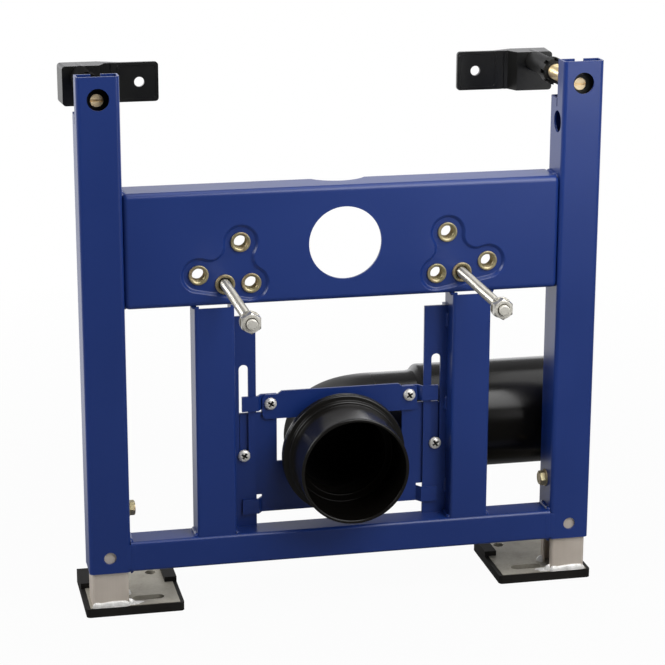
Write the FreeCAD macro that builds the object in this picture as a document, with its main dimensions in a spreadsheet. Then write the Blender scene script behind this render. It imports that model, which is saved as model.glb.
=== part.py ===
import FreeCAD, Part
import math
import os
import re
import Sketcher

# Wall hung toilet frame: a low welded steel frame on two telescopic feet.
# Millimetres. X runs to the right seen from the front, +Y towards the wall, +Z up from the floor.
# The origin is on the floor, in the middle of the whole footprint.

Vector = FreeCAD.Vector
AXIS_Y, AXIS_Z = Vector(0, 1, 0), Vector(0, 0, 1)
doc = FreeCAD.newDocument("toilet_frame")

# Driving dimensions
SIZES = {
    # Uprights of square tube
    "frame_width": 500.0,
    "front_y": -20.0,
    "tube_side": 40.0,
    "tube_wall": 2.0,
    "tube_round": 4.0,
    "upright_length": 480.0,
    "upright_bottom": 44.0,
    "notch_height": 37.6,
    "notch_keep": 18.0,
    "notch_slit": 2.0,
    "notch_slit_length": 8.0,
    "lip_thick": 2.0,
    "lip_slot": 9.0,
    "rod_drop": 23.5,
    "top_hole": 20.5,
    "top_hole_drop": 21.0,
    "side_hole": 21.0,
    "side_hole_drop": 59.4,
    "side_hole_y": 15.6,
    "sight_hole": 12.0,
    "sight_hole_rise": 15.5,
    # Folded crossbar
    "crossbar_rise": 260.0,
    "crossbar_height": 110.0,
    "crossbar_depth": 38.0,
    "crossbar_setback": 2.0,
    "crossbar_sheet": 2.5,
    "crossbar_bend": 5.0,
    "inner_bend_share": 0.96,
    "centre_hole": 70.0,
    "notch_chord": 52.0,
    "notch_sagitta": 13.0,
    # Stud bushes and their pressed recesses
    "pitch_inner": 180.0,
    "pitch_stud": 230.0,
    "pitch_outer": 280.0,
    "pitch_upper": 200.0,
    "rise_lower": 20.0,
    "rise_outer": 30.0,
    "rise_upper": 60.0,
    "lobe_radius": 17.0,
    "lobe_blend": 12.0,
    "recess_depth": 3.0,
    "recess_taper": 40.0,
    "recess_spread": 1.75,
    "recess_round": 1.5,
    "bush_rim": 19.0,
    "bush_rim_thick": 2.0,
    "bush_barrel": 16.0,
    "bush_bore": 12.6,
    "bush_length": 13.0,
    # Studs
    "stud_size": 10.0,
    "stud_nut_flats": 17.0,
    "stud_nut_thick": 8.0,
    "stud_reach": 140.0,
    "stud_tail": 12.0,
    "stud_dome": 2.0,
    "thread_play": 0.6,
    "press_play": 0.3,
    "cut_past": 1.0,
    # Bottom rail
    "rail_height": 30.0,
    "rail_depth": 30.0,
    "rail_wall": 2.0,
    "rail_round": 3.0,
    # Inner posts and slotted rails
    "post_spacing": 213.0,
    "post_width": 38.0,
    "post_depth": 30.0,
    "post_setback": 2.0,
    "post_sheet": 2.0,
    "post_bend": 3.0,
    "post_slit": 2.3,
    "flange_reach": 23.2,
    "flange_thick": 2.5,
    "flange_setback": 22.0,
    "flange_leg": 12.0,
    "flange_top": 287.0,
    "slot_width": 9.0,
    "slot_inset": 11.1,
    "slot_bottom": 6.0,
    "slot_top": 91.5,
    # Waste clamp
    "waste_height": 103.0,
    "clamp_sheet": 2.5,
    "clamp_play": 0.3,
    "plate_gap": 13.0,
    "plate_rise": 60.0,
    "plate_lap": 15.7,
    "ear_gap": 3.0,
    "cutout_land": 15.0,
    "cutout_ledge": 9.0,
    "tab_height": 15.0,
    "tab_lap": 14.2,
    "joggle_start": 5.8,
    "joggle_end": 1.8,
    "strap_side_gap": 6.3,
    "strap_ear_low": 35.5,
    "strap_ear_high": 60.0,
    "strap_rise": 63.0,
    "strap_ear_run": 19.0,
    "strap_slope": 4.0,
    "strap_round": 5.0,
    "strap_screw_inset": 8.0,
    "strap_screw_rise": 51.0,
    "screw_head": 12.0,
    "screw_head_thick": 4.0,
    "screw_shank": 6.0,
    "screw_length": 12.0,
    # Waste bend
    "pipe_diameter": 90.0,
    "pipe_wall": 4.0,
    "neck_reach": 30.0,
    "bend_diameter": 96.0,
    "bend_radius": 50.0,
    "run_setback": 105.5,
    "socket_diameter": 105.0,
    "socket_wall": 4.0,
    "mouth_reach": 47.0,
    "socket_floor": 5.0,
    "collar_diameter": 121.0,
    "collar_front": 3.0,
    "collar_width": 9.0,
    "collar_round": 2.0,
    "collar_bead": 111.0,
    "collar_bead_width": 5.0,
    "collar_groove": 1.5,
    "rim_round": 1.5,
    "outlet_diameter": 108.5,
    "outlet_start": 92.5,
    "outlet_cone": 6.0,
    "outlet_end": 245.0,
    # Telescopic legs and feet
    "leg_side": 35.0,
    "leg_wall": 2.0,
    "leg_round": 3.0,
    "leg_length": 300.0,
    "leg_gap": 20.0,
    "leg_gap_y": 17.0,
    "foot_plate_thick": 4.5,
    "foot_plate_top": 9.0,
    "pad_width": 95.0,
    "pad_depth": 98.0,
    "pad_overhang": 4.0,
    "pad_height": 8.5,
    "pad_rim": 4.0,
    "pad_front_rim": 2.0,
    "pad_round": 4.0,
    "clip_width": 12.0,
    "clip_start": 54.0,
    "clip_top": 14.0,
    "floor_slot_width": 11.0,
    "floor_slot_run": 20.0,
    "floor_slot_x": 38.0,
    "floor_slot_y": 19.0,
    "floor_hole": 10.5,
    "floor_hole_x": 48.5,
    "floor_hole_y": 82.0,
    "floor_hole_room": 4.0,
    "clamp_bolt_rise": 58.7,
    "clamp_bolt_y": 20.0,
    "bolt_flats": 13.0,
    "bolt_head": 5.5,
    "bolt_flange": 18.0,
    "bolt_flange_thick": 1.5,
    "bolt_size": 8.0,
    "bolt_length": 12.0,
    # Wall brackets and their rods
    "wall_distance": 180.0,
    "bracket_height": 39.0,
    "bracket_centre_drop": 10.0,
    "block_depth": 26.0,
    "block_draft": 2.3,
    "wing_inner": 58.0,
    "wing_front": 167.0,
    "wing_thick": 4.0,
    "wing_round": 3.5,
    "wedge_end": 20.0,
    "joggle_width": 6.0,
    "block_gap": 1.0,
    "groove_inset": 10.0,
    "groove_width": 2.5,
    "groove_depth": 1.0,
    "wall_hole": 10.0,
    "wall_hole_x": 39.0,
    "boss_diameter": 20.0,
    "boss_front": 100.0,
    "ring_diameter": 26.0,
    "ring_length": 14.0,
    "ring_notch": 4.0,
    "ring_notch_depth": 3.0,
    "ring_notch_length": 9.0,
    "rod_size": 15.5,
    "rod_head": 12.5,
    "sleeve_diameter": 19.0,
    "sleeve_length": 5.0,
    "rod_slot": 2.0,
    "rod_slot_depth": 2.5,
    "rod_front": 12.0,
    "rod_rear": 130.0,
    "rod_bore_end": 176.0,
}
RING_NOTCHES = 8
TOLERANCE = 1e-6

sheet = doc.addObject("Spreadsheet::Sheet", "sizes")
for row, (alias, number) in enumerate(SIZES.items(), start=1):
    sheet.set(f"A{row}", alias)
    sheet.set(f"B{row}", str(number))
    sheet.setAlias(f"B{row}", alias)
doc.recompute()


def formula(text):
    """The text with the name of each size pointed at its cell."""
    def point(word):
        return "sizes." + word.group() if word.group() in SIZES else word.group()

    return re.sub(r"[a-z_]+", point, text)


def value(text):
    """The number that a formula gives now."""
    return float(sheet.evalExpression(formula(text)))


def bind(thing, **properties):
    """Bind properties of an object to formulas; a double underscore stands for a dot."""
    for name, text in properties.items():
        thing.setExpression(name.replace("__", "."), formula(text))


def make_body(label):
    body = doc.addObject("PartDesign::Body", label)
    body.Label = label
    return body


def make_sketch(body, role, offset="0"):
    """A sketch on one of the body's own planes, moved along the plane's normal (+Z, -Y or +X)."""
    plane = next(feature for feature in body.Origin.OriginFeatures if feature.Role == role)
    sketch = body.newObject("Sketcher::SketchObject", body.Label + "_sketch")
    sketch.AttachmentSupport = [(plane, "")]
    sketch.MapMode = "FlatFace"
    bind(sketch, AttachmentOffset__Base__z=offset)
    return sketch


def pin(sketch, shape, end, x, y):
    """Hold one point of a sketch shape at the place that two formulas give."""
    for kind, text in (("DistanceX", x), ("DistanceY", y)):
        index = sketch.addConstraint(Sketcher.Constraint(kind, -1, 1, shape, end, value(text)))
        sketch.setExpression(f"Constraints[{index}]", formula(text))


def set_radius(sketch, shape, text):
    index = sketch.addConstraint(Sketcher.Constraint("Radius", shape, value(text)))
    sketch.setExpression(f"Constraints[{index}]", formula(text))


def add_circle(sketch, x, y, diameter):
    radius = f"({diameter}) / 2"
    circle = Part.Circle(Vector(value(x), value(y), 0), AXIS_Z, value(radius))
    shape = sketch.addGeometry(circle, False)
    pin(sketch, shape, 3, x, y)
    set_radius(sketch, shape, radius)


def add_polygon(sketch, corners):
    """A closed outline of straight lines through corners given as pairs of formulas."""
    points = [Vector(value(x), value(y), 0) for x, y in corners]
    lines = []
    for start, end in zip(points, points[1:] + points[:1]):
        lines.append(sketch.addGeometry(Part.LineSegment(start, end), False))
    for line, after in zip(lines, lines[1:] + lines[:1]):
        sketch.addConstraint(Sketcher.Constraint("Coincident", line, 2, after, 1))
    for line, (x, y) in zip(lines, corners):
        pin(sketch, line, 1, x, y)


def add_box(sketch, left, right, low, high):
    add_polygon(sketch, [(left, low), (right, low), (right, high), (left, high)])


def add_round_box(sketch, left, right, low, high, radius):
    """A rectangle with four round corners."""
    ends = [
        ((f"{left} + {radius}", low), (f"{right} - ({radius})", low)),
        ((right, f"{low} + {radius}"), (right, f"{high} - ({radius})")),
        ((f"{right} - ({radius})", high), (f"{left} + {radius}", high)),
        ((left, f"{high} - ({radius})"), (left, f"{low} + {radius}")),
    ]
    centres = [(ends[0][1][0], ends[1][0][1]), (ends[2][0][0], ends[1][1][1]),
               (ends[2][1][0], ends[3][0][1]), (ends[0][0][0], ends[3][1][1])]
    lines = []
    for start, end in ends:
        points = [Vector(value(x), value(y), 0) for x, y in (start, end)]
        lines.append(sketch.addGeometry(Part.LineSegment(*points), False))
        pin(sketch, lines[-1], 1, *start)
        pin(sketch, lines[-1], 2, *end)
    for corner, (x, y) in enumerate(centres):
        circle = Part.Circle(Vector(value(x), value(y), 0), AXIS_Z, value(radius))
        first = (corner - 1) * math.pi / 2
        arc = sketch.addGeometry(Part.ArcOfCircle(circle, first, first + math.pi / 2), False)
        sketch.addConstraint(Sketcher.Constraint("Coincident", lines[corner], 2, arc, 1))
        sketch.addConstraint(Sketcher.Constraint("Coincident", arc, 2, lines[(corner + 1) % 4], 1))
        set_radius(sketch, arc, radius)


def add_slot(sketch, start, end, width):
    """A slot with round ends, from the centre of one end to the centre of the other."""
    first = Vector(value(start[0]), value(start[1]), 0)
    last = Vector(value(end[0]), value(end[1]), 0)
    radius = f"({width}) / 2"
    along = last - first
    heading = math.atan2(along.y, along.x)
    across = Vector(-math.sin(heading), math.cos(heading), 0) * value(radius)
    arcs = []
    for centre, turn in ((first, math.pi / 2), (last, -math.pi / 2)):
        circle = Part.Circle(centre, AXIS_Z, value(radius))
        arc = Part.ArcOfCircle(circle, heading + turn, heading + turn + math.pi)
        arcs.append(sketch.addGeometry(arc, False))
    lines = [sketch.addGeometry(Part.LineSegment(first - across, last - across), False),
             sketch.addGeometry(Part.LineSegment(last + across, first + across), False)]
    for arc, before, after in ((arcs[0], lines[1], lines[0]), (arcs[1], lines[0], lines[1])):
        sketch.addConstraint(Sketcher.Constraint("Tangent", before, 2, arc, 1))
        sketch.addConstraint(Sketcher.Constraint("Tangent", arc, 2, after, 1))
    sketch.addConstraint(Sketcher.Constraint("Equal", *arcs))
    set_radius(sketch, arcs[0], radius)
    pin(sketch, arcs[0], 3, *start)
    pin(sketch, arcs[1], 3, *end)


def pad(body, sketch, length, side="One side", reverse=False):
    feature = body.newObject("PartDesign::Pad", body.Label + "_pad")
    feature.Profile = sketch
    feature.SideType = side
    feature.Reversed = reverse
    bind(feature, Length=length)
    doc.recompute()
    return feature


def pocket(body, sketch, length, side="Symmetric", reverse=False):
    """A cut; it has to take something away."""
    before = body.Shape.Volume
    feature = body.newObject("PartDesign::Pocket", body.Label + "_pocket")
    feature.Profile = sketch
    feature.SideType = side
    feature.Reversed = reverse
    bind(feature, Length=length)
    doc.recompute()
    if not body.Shape.Volume < before - TOLERANCE:
        raise RuntimeError(body.Label + ": a pocket cut nothing")
    return feature


def revolve(body, sketch, role):
    """A full turn of a half profile about one of the sketch's own axes."""
    feature = body.newObject("PartDesign::Revolution", body.Label + "_turned")
    feature.Profile = sketch
    feature.ReferenceAxis = (sketch, [role])
    feature.Angle = 360.0
    doc.recompute()
    return feature


def round_edges(body, radius, chosen):
    """Round the edges of the body's present shape that the test picks."""
    base = body.Tip
    names = [f"Edge{index}" for index, edge in enumerate(base.Shape.Edges, start=1) if chosen(edge)]
    feature = body.newObject("PartDesign::Fillet", body.Label + "_round")
    feature.Base = (base, names)
    bind(feature, Radius=radius)
    doc.recompute()
    return feature


def runs_along(edge, axis):
    """True for a straight edge that lies along X, Y or Z."""
    if edge.Curve.TypeId != "Part::GeomLine":
        return False
    return abs(abs(edge.Curve.Direction.dot(axis)) - 1) < TOLERANCE


SIDES = (("left", "-1"), ("right", "1"))
TOP = "(upright_bottom + upright_length)"
ROD_Z = f"({TOP} - rod_drop)"
ROD_X = "(frame_width / 2 - tube_side / 2)"
INNER_X = "(frame_width / 2 - tube_side)"
CROSSBAR_Z = "(upright_bottom + crossbar_rise)"
CROSSBAR_Y = "(front_y + crossbar_setback)"
RECESS_Y = f"({CROSSBAR_Y} + recess_depth)"
RAIL_TOP = "(upright_bottom + rail_height)"
WASTE_Z = "(upright_bottom + waste_height)"
nodes = []


def ordered(side, inner, outer):
    """The lower and the higher of two mirrored X formulas."""
    pair = (f"{side} * ({inner})", f"{side} * ({outer})")
    return pair if side == "1" else pair[::-1]


# Uprights: square tube, notched at the back of the top so that a rod drops in between two lips
for name, side in SIDES:
    upright = make_body(name + "_upright")
    left, right = ordered(side, INNER_X, "frame_width / 2")
    back = "front_y + tube_side"
    section = make_sketch(upright, "XY_Plane", "upright_bottom")
    add_round_box(section, left, right, "front_y", back, "tube_round")
    add_round_box(section, f"{left} + tube_wall", f"{right} - tube_wall", "front_y + tube_wall",
                  f"{back} - tube_wall", "tube_round - tube_wall")
    pad(upright, section, "upright_length")
    notch = make_sketch(upright, "YZ_Plane", f"{side} * {ROD_X}")
    keep, step = "front_y + notch_keep", f"{TOP} - notch_height"
    slit_end = f"{step} - notch_slit_length"
    add_polygon(notch, [(keep, f"{TOP} + cut_past"), (keep, slit_end), (f"{keep} + notch_slit", slit_end),
                        (f"{keep} + notch_slit", step), (f"{back} + cut_past", step),
                        (f"{back} + cut_past", f"{TOP} + cut_past")])
    pocket(upright, notch, "2 * tube_side")
    lips = make_sketch(upright, "XZ_Plane", "-(front_y + notch_keep)")
    lip_left, lip_right = f"{left} + tube_wall / 2", f"{right} - tube_wall / 2"
    slot_left = f"{side} * {ROD_X} - lip_slot / 2"
    slot_right = f"{side} * {ROD_X} + lip_slot / 2"
    add_polygon(lips, [(lip_left, step), (lip_right, step), (lip_right, TOP), (slot_right, TOP),
                       (slot_right, ROD_Z), (slot_left, ROD_Z), (slot_left, TOP), (lip_left, TOP)])
    pad(upright, lips, "lip_thick")
    seat = make_sketch(upright, "XZ_Plane", "-(front_y + notch_keep)")
    add_circle(seat, f"{side} * {ROD_X}", ROD_Z, "lip_slot")
    pocket(upright, seat, "3 * lip_thick")
    front_holes = make_sketch(upright, "XZ_Plane", "-front_y")
    add_circle(front_holes, f"{side} * {ROD_X}", f"{TOP} - top_hole_drop", "top_hole")
    add_circle(front_holes, f"{side} * {ROD_X}", "upright_bottom + sight_hole_rise", "sight_hole")
    pocket(upright, front_holes, "3 * tube_wall")
    side_holes = make_sketch(upright, "YZ_Plane", f"{side} * {INNER_X}")
    add_circle(side_holes, "front_y + side_hole_y", f"{TOP} - side_hole_drop", "side_hole")
    add_circle(side_holes, "front_y + clamp_bolt_y", "upright_bottom + clamp_bolt_rise",
               "bolt_size + thread_play")
    pocket(upright, side_holes, "3 * tube_wall")
    nodes.append(upright)

# Crossbar: one sheet folded into a shallow tray, with a three-lobed recess pressed in at each end
def add_lobes(sketch, side, spread):
    """The recess outline: three lobes, two hollow blends between them and a straight lower edge."""
    centres = [(f"{side} * pitch_inner / 2", f"{CROSSBAR_Z} + rise_lower"),
               (f"{side} * pitch_upper / 2", f"{CROSSBAR_Z} + rise_upper"),
               (f"{side} * pitch_outer / 2", f"{CROSSBAR_Z} + rise_outer")]
    points = [Vector(value(x), value(z), 0) for x, z in centres]
    lobe = value(f"lobe_radius + {spread}")
    blend = value(f"lobe_blend - ({spread})")
    turn = float(side)

    def hollow(first, last):
        """The centre of the blend that touches two lobes from outside."""
        half = (last - first) / 2
        outward = Vector(-half.y, half.x, 0).normalize() * turn
        return first + half + outward * math.sqrt((lobe + blend) ** 2 - half.Length ** 2)

    hollows = [hollow(points[0], points[1]), hollow(points[1], points[2])]
    lower = points[0] - points[2]
    below = Vector(-lower.y, lower.x, 0).normalize() * turn * lobe
    joins = [points[0] + below]
    for near, far in ((0, 0), (1, 0), (1, 1), (2, 1)):
        joins.append(points[near] + (hollows[far] - points[near]).normalize() * lobe)
    joins.append(points[2] + below)
    middles = [points[0] + (points[0] - points[1] + points[0] - points[2]).normalize() * lobe,
               hollows[0] + (points[0] + points[1] - hollows[0] * 2).normalize() * blend,
               points[1] + (points[1] * 2 - points[0] - points[2]).normalize() * lobe,
               hollows[1] + (points[1] + points[2] - hollows[1] * 2).normalize() * blend,
               points[2] + (points[2] * 2 - points[0] - points[1]).normalize() * lobe]
    shapes = []
    for start, middle, end in zip(joins, middles, joins[1:]):
        shapes.append(sketch.addGeometry(Part.Arc(start, middle, end), False))
    shapes.append(sketch.addGeometry(Part.LineSegment(joins[-1], joins[0]), False))
    for shape, after in zip(shapes, shapes[1:] + shapes[:1]):
        ends = [sketch.getPoint(shape, end) for end in (1, 2)]
        starts = [sketch.getPoint(after, end) for end in (1, 2)]
        pairs = [((ends[a] - starts[b]).Length, a + 1, b + 1) for a in (0, 1) for b in (0, 1)]
        sketch.addConstraint(Sketcher.Constraint("Tangent", shape, min(pairs)[1], after, min(pairs)[2]))
    for shape in shapes[0:5:2]:
        set_radius(sketch, shape, f"lobe_radius + {spread}")
    for shape in shapes[1:5:2]:
        set_radius(sketch, shape, f"lobe_blend - ({spread})")
    for shape, (x, z) in zip(shapes[0:5:2], centres):
        pin(sketch, shape, 3, x, z)


BUSHES = [("pitch_inner", "rise_lower"), ("pitch_stud", "rise_lower"),
          ("pitch_outer", "rise_outer"), ("pitch_upper", "rise_upper")]
crossbar = make_body("crossbar")
outline = make_sketch(crossbar, "XZ_Plane", f"-{CROSSBAR_Y}")
add_box(outline, f"-{INNER_X}", INNER_X, CROSSBAR_Z, f"{CROSSBAR_Z} + crossbar_height")
pad(crossbar, outline, "crossbar_depth - crossbar_setback", reverse=True)
front = value(CROSSBAR_Y)
round_edges(crossbar, "crossbar_bend", lambda edge: runs_along(edge, AXIS_Y))
round_edges(crossbar, "crossbar_bend",
            lambda edge: all(abs(vertex.Y - front) < TOLERANCE for vertex in edge.Vertexes))
inside = make_sketch(crossbar, "XZ_Plane", "-(front_y + crossbar_depth)")
add_round_box(inside, f"-{INNER_X} + crossbar_sheet", f"{INNER_X} - crossbar_sheet",
              f"{CROSSBAR_Z} + crossbar_sheet", f"{CROSSBAR_Z} + crossbar_height - crossbar_sheet",
              "crossbar_bend - crossbar_sheet")
pocket(crossbar, inside, "crossbar_depth - crossbar_setback - crossbar_sheet", "One side", reverse=True)
sheet_back = value(f"{CROSSBAR_Y} + crossbar_sheet")
round_edges(crossbar, "(crossbar_bend - crossbar_sheet) * inner_bend_share",
            lambda edge: all(abs(vertex.Y - sheet_back) < TOLERANCE for vertex in edge.Vertexes))
for name, side in SIDES:
    back = make_sketch(crossbar, "XZ_Plane", f"-({CROSSBAR_Y} + crossbar_sheet / 2)")
    add_lobes(back, side, "recess_spread")
    pressed = pad(crossbar, back, "recess_depth + crossbar_sheet / 2", reverse=True)
    bind(pressed, TaperAngle="-recess_taper")
    doc.recompute()
    face = make_sketch(crossbar, "XZ_Plane", f"-{CROSSBAR_Y}")
    add_lobes(face, side, "0")
    sunk = pocket(crossbar, face, "recess_depth", "One side")
    bind(sunk, TaperAngle="-recess_taper")
    doc.recompute()
    reach = value("pitch_outer / 2 + lobe_radius")
    for level in (value(CROSSBAR_Y), value(RECESS_Y)):
        round_edges(crossbar, "recess_round",
                    lambda edge: all(abs(vertex.Y - level) < TOLERANCE for vertex in edge.Vertexes)
                    and TOLERANCE < edge.CenterOfMass.x * float(side) < reach)
    holes = make_sketch(crossbar, "XZ_Plane", f"-{RECESS_Y}")
    for pitch, rise in BUSHES:
        add_circle(holes, f"{side} * {pitch} / 2", f"{CROSSBAR_Z} + {rise}", "bush_barrel + press_play")
    pocket(crossbar, holes, "6 * crossbar_sheet")
centre = make_sketch(crossbar, "XZ_Plane", f"-{CROSSBAR_Y}")
add_circle(centre, "0", f"{CROSSBAR_Z} + crossbar_height / 2", "centre_hole")
pocket(crossbar, centre, "4 * crossbar_sheet")
scoop = make_sketch(crossbar, "XY_Plane", f"{CROSSBAR_Z} + crossbar_height")
scoop_radius = "(notch_chord * notch_chord / 8 / notch_sagitta + notch_sagitta / 2)"
add_circle(scoop, "0", f"front_y + crossbar_depth + {scoop_radius} - notch_sagitta", f"2 * {scoop_radius}")
pocket(crossbar, scoop, "4 * crossbar_sheet")
nodes.append(crossbar)

# Stud bushes: flanged steel bushes welded into the recesses, one at each fixing place
for name, side in SIDES:
    bushes = make_body(name + "_bushes")
    for diameter, length, back in (("bush_rim", "bush_rim_thick", False),
                                   ("bush_barrel", "bush_length", True)):
        rings = make_sketch(bushes, "XZ_Plane", f"-{RECESS_Y}")
        for pitch, rise in BUSHES:
            for ring in (diameter, "bush_bore"):
                add_circle(rings, f"{side} * {pitch} / 2", f"{CROSSBAR_Z} + {rise}", ring)
        pad(bushes, rings, length, reverse=back)
    nodes.append(bushes)

# Studs: threaded rods through the middle bushes, each held by a nut behind its bush; the pan hangs on them
STUD_Z = f"({CROSSBAR_Z} + rise_lower)"


def add_hexagon(sketch, x, y, flats):
    """A hexagon sized across its flats, with two corners level with its middle."""
    radius = f"{flats} / {math.sqrt(3)}"
    corners = []
    for corner in range(6):
        turn = corner * math.pi / 3
        across, up = f"{math.cos(turn):.9f}", f"{math.sin(turn):.9f}"
        corners.append((f"{x} + {radius} * ({across})", f"{y} + {radius} * ({up})"))
    add_polygon(sketch, corners)


for name, side in SIDES:
    stud_x = f"{side} * pitch_stud / 2"
    stud = make_body(name + "_stud")
    section = make_sketch(stud, "XZ_Plane", f"-({RECESS_Y} + bush_length + stud_tail)")
    add_circle(section, stud_x, STUD_Z, "stud_size")
    pad(stud, section, "crossbar_setback + recess_depth + bush_length + stud_tail + stud_reach")
    nut = make_sketch(stud, "XZ_Plane", f"-({RECESS_Y} + bush_length)")
    add_hexagon(nut, stud_x, STUD_Z, "stud_nut_flats")
    pad(stud, nut, "stud_nut_thick", reverse=True)
    tip = value("front_y - stud_reach")
    round_edges(stud, "stud_dome", lambda edge: abs(edge.BoundBox.YMax - tip) < TOLERANCE)
    nodes.append(stud)

# Bottom rail: square tube welded between the uprights
rail = make_body("bottom_rail")
section = make_sketch(rail, "YZ_Plane", f"-{INNER_X}")
add_round_box(section, "front_y", "front_y + rail_depth", "upright_bottom", RAIL_TOP, "rail_round")
add_round_box(section, "front_y + rail_wall", "front_y + rail_depth - rail_wall",
              "upright_bottom + rail_wall", f"{RAIL_TOP} - rail_wall", "rail_round - rail_wall")
pad(rail, section, f"2 * {INNER_X}")
nodes.append(rail)

# Inner posts: channels open to the back, between the bottom rail and the crossbar
for name, side in SIDES:
    post = make_body(name + "_inner_post")
    left, right = ordered(side, "post_spacing / 2", "post_spacing / 2 + post_width")
    front_face, back = "front_y + post_setback", "front_y + post_setback + post_depth"
    section = make_sketch(post, "XY_Plane", RAIL_TOP)
    inner_left, inner_right = f"{left} + post_sheet", f"{right} - post_sheet"
    inner_face = f"{front_face} + post_sheet"
    add_polygon(section, [(left, back), (left, front_face), (right, front_face), (right, back),
                          (inner_right, back), (inner_right, inner_face), (inner_left, inner_face),
                          (inner_left, back)])
    pad(post, section, f"{CROSSBAR_Z} - {RAIL_TOP}")
    bend = value(front_face)
    round_edges(post, "post_bend",
                lambda edge: runs_along(edge, AXIS_Z) and abs(edge.BoundBox.YMax - bend) < TOLERANCE)
    slit = make_sketch(post, "XZ_Plane", f"-({front_face})")
    add_box(slit, f"{left} + 2 * post_sheet", f"{right} - 2 * post_sheet", f"{CROSSBAR_Z} - post_slit",
            f"{CROSSBAR_Z} + post_slit")
    pocket(post, slit, "4 * post_sheet")
    nodes.append(post)

# Slotted rails: angles on the inner side of the posts, along which the waste clamp is set
FLANGE_Y = "(front_y + flange_setback)"
RAIL_EDGE = "(post_spacing / 2 - flange_reach)"
for name, side in SIDES:
    guide = make_body(name + "_slotted_rail")
    outer, inside = "post_spacing / 2", "post_spacing / 2 - flange_thick"
    corners = [(RAIL_EDGE, FLANGE_Y), (outer, FLANGE_Y), (outer, f"{FLANGE_Y} + flange_leg"),
               (inside, f"{FLANGE_Y} + flange_leg"), (inside, f"{FLANGE_Y} + flange_thick"),
               (RAIL_EDGE, f"{FLANGE_Y} + flange_thick")]
    section = make_sketch(guide, "XY_Plane", RAIL_TOP)
    add_polygon(section, [(f"{side} * ({x})", y) for x, y in corners])
    pad(guide, section, f"flange_top - {RAIL_TOP}")
    slot = make_sketch(guide, "XZ_Plane", f"-{FLANGE_Y}")
    slot_x = f"{side} * (post_spacing / 2 - slot_inset)"
    add_slot(slot, (slot_x, f"{WASTE_Z} - slot_bottom + slot_width / 2"),
             (slot_x, f"{WASTE_Z} + slot_top - slot_width / 2"), "slot_width")
    pocket(guide, slot, "4 * flange_thick")
    nodes.append(guide)

# Waste clamp plate: lies behind the rails, with four tabs cranked round to the front of them
PLATE_Y = "(front_y + flange_setback + flange_thick + clamp_play)"
TAB_Y = "(front_y + flange_setback - clamp_play - clamp_sheet)"
plate = make_body("clamp_plate")
outline = make_sketch(plate, "XZ_Plane", f"-{PLATE_Y}")
PLATE_LOW, PLATE_HIGH = f"({RAIL_TOP} + plate_gap)", f"({WASTE_Z} + plate_rise)"
ear_low, ear_high = f"{PLATE_LOW} + tab_height + ear_gap", f"{PLATE_HIGH} - tab_height - ear_gap"
back_bend, front_bend = f"({RAIL_EDGE} - joggle_start)", f"({RAIL_EDGE} - joggle_end)"
ear_end, cutout = f"({RAIL_EDGE} + plate_lap)", f"({back_bend} - cutout_land)"
half = [(cutout, PLATE_HIGH), (back_bend, PLATE_HIGH), (back_bend, ear_high), (ear_end, ear_high),
        (ear_end, ear_low), (back_bend, ear_low), (back_bend, PLATE_LOW)]
ledge = f"{WASTE_Z} - cutout_ledge"
corners = half + [(f"-{x}", z) for x, z in half[::-1]]
add_polygon(outline, corners + [(f"-{cutout}", ledge), (cutout, ledge)])
pad(plate, outline, "clamp_sheet", reverse=True)
for side in ("-1", "1"):
    for low in (PLATE_LOW, f"{PLATE_HIGH} - tab_height"):
        crank = make_sketch(plate, "XY_Plane", low)
        corners = [(f"{back_bend} - clamp_sheet", PLATE_Y), (back_bend, PLATE_Y), (front_bend, TAB_Y),
                   (f"{RAIL_EDGE} + tab_lap", TAB_Y), (f"{RAIL_EDGE} + tab_lap", f"{TAB_Y} + clamp_sheet"),
                   (f"{front_bend} + clamp_sheet / 4", f"{TAB_Y} + clamp_sheet"),
                   (f"{back_bend} + clamp_sheet / 4", f"{PLATE_Y} + clamp_sheet"),
                   (f"{back_bend} - clamp_sheet", f"{PLATE_Y} + clamp_sheet")]
        add_polygon(crank, [(f"{side} * ({x})", y) for x, y in corners])
        pad(plate, crank, "tab_height")
neck = make_sketch(plate, "XZ_Plane", f"-{PLATE_Y}")
add_circle(neck, "0", WASTE_Z, "pipe_diameter + press_play")
pocket(plate, neck, "4 * clamp_sheet")
screw_holes = make_sketch(plate, "XZ_Plane", f"-{PLATE_Y}")
RAIL_SCREW_X = "(post_spacing / 2 - slot_inset)"
STRAP_END = f"({RAIL_EDGE} - strap_side_gap)"
STRAP_SCREW_X = f"({STRAP_END} - strap_screw_inset)"
for side in ("-1", "1"):
    for x, z in ((STRAP_SCREW_X, f"{WASTE_Z} + strap_screw_rise"), (RAIL_SCREW_X, WASTE_Z)):
        add_circle(screw_holes, f"{side} * {x}", z, "screw_shank + press_play")
pocket(plate, screw_holes, "4 * clamp_sheet")
nodes.append(plate)

# Clamp strap: arches over the neck of the waste bend and is screwed to the plate
strap = make_body("clamp_strap")
outline = make_sketch(strap, "XZ_Plane", f"-{PLATE_Y}")
shoulder = f"({STRAP_END} - strap_ear_run)"
half = [(shoulder, "strap_rise"), (f"({shoulder} + strap_slope)", "strap_ear_high"),
        (STRAP_END, "strap_ear_high"), (STRAP_END, "strap_ear_low")]
corners = half + [(f"-{x}", z) for x, z in half[::-1]]
add_polygon(outline, [(x, f"{WASTE_Z} + {z}") for x, z in corners])
pad(strap, outline, "clamp_sheet")
strap_end = value(STRAP_END)
round_edges(strap, "strap_round",
            lambda edge: runs_along(edge, AXIS_Y) and abs(abs(edge.Vertexes[0].X) - strap_end) < TOLERANCE)
neck = make_sketch(strap, "XZ_Plane", f"-{PLATE_Y}")
add_circle(neck, "0", WASTE_Z, "pipe_diameter + press_play")
for side in ("-1", "1"):
    add_circle(neck, f"{side} * {STRAP_SCREW_X}", f"{WASTE_Z} + strap_screw_rise", "screw_shank + press_play")
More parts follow.
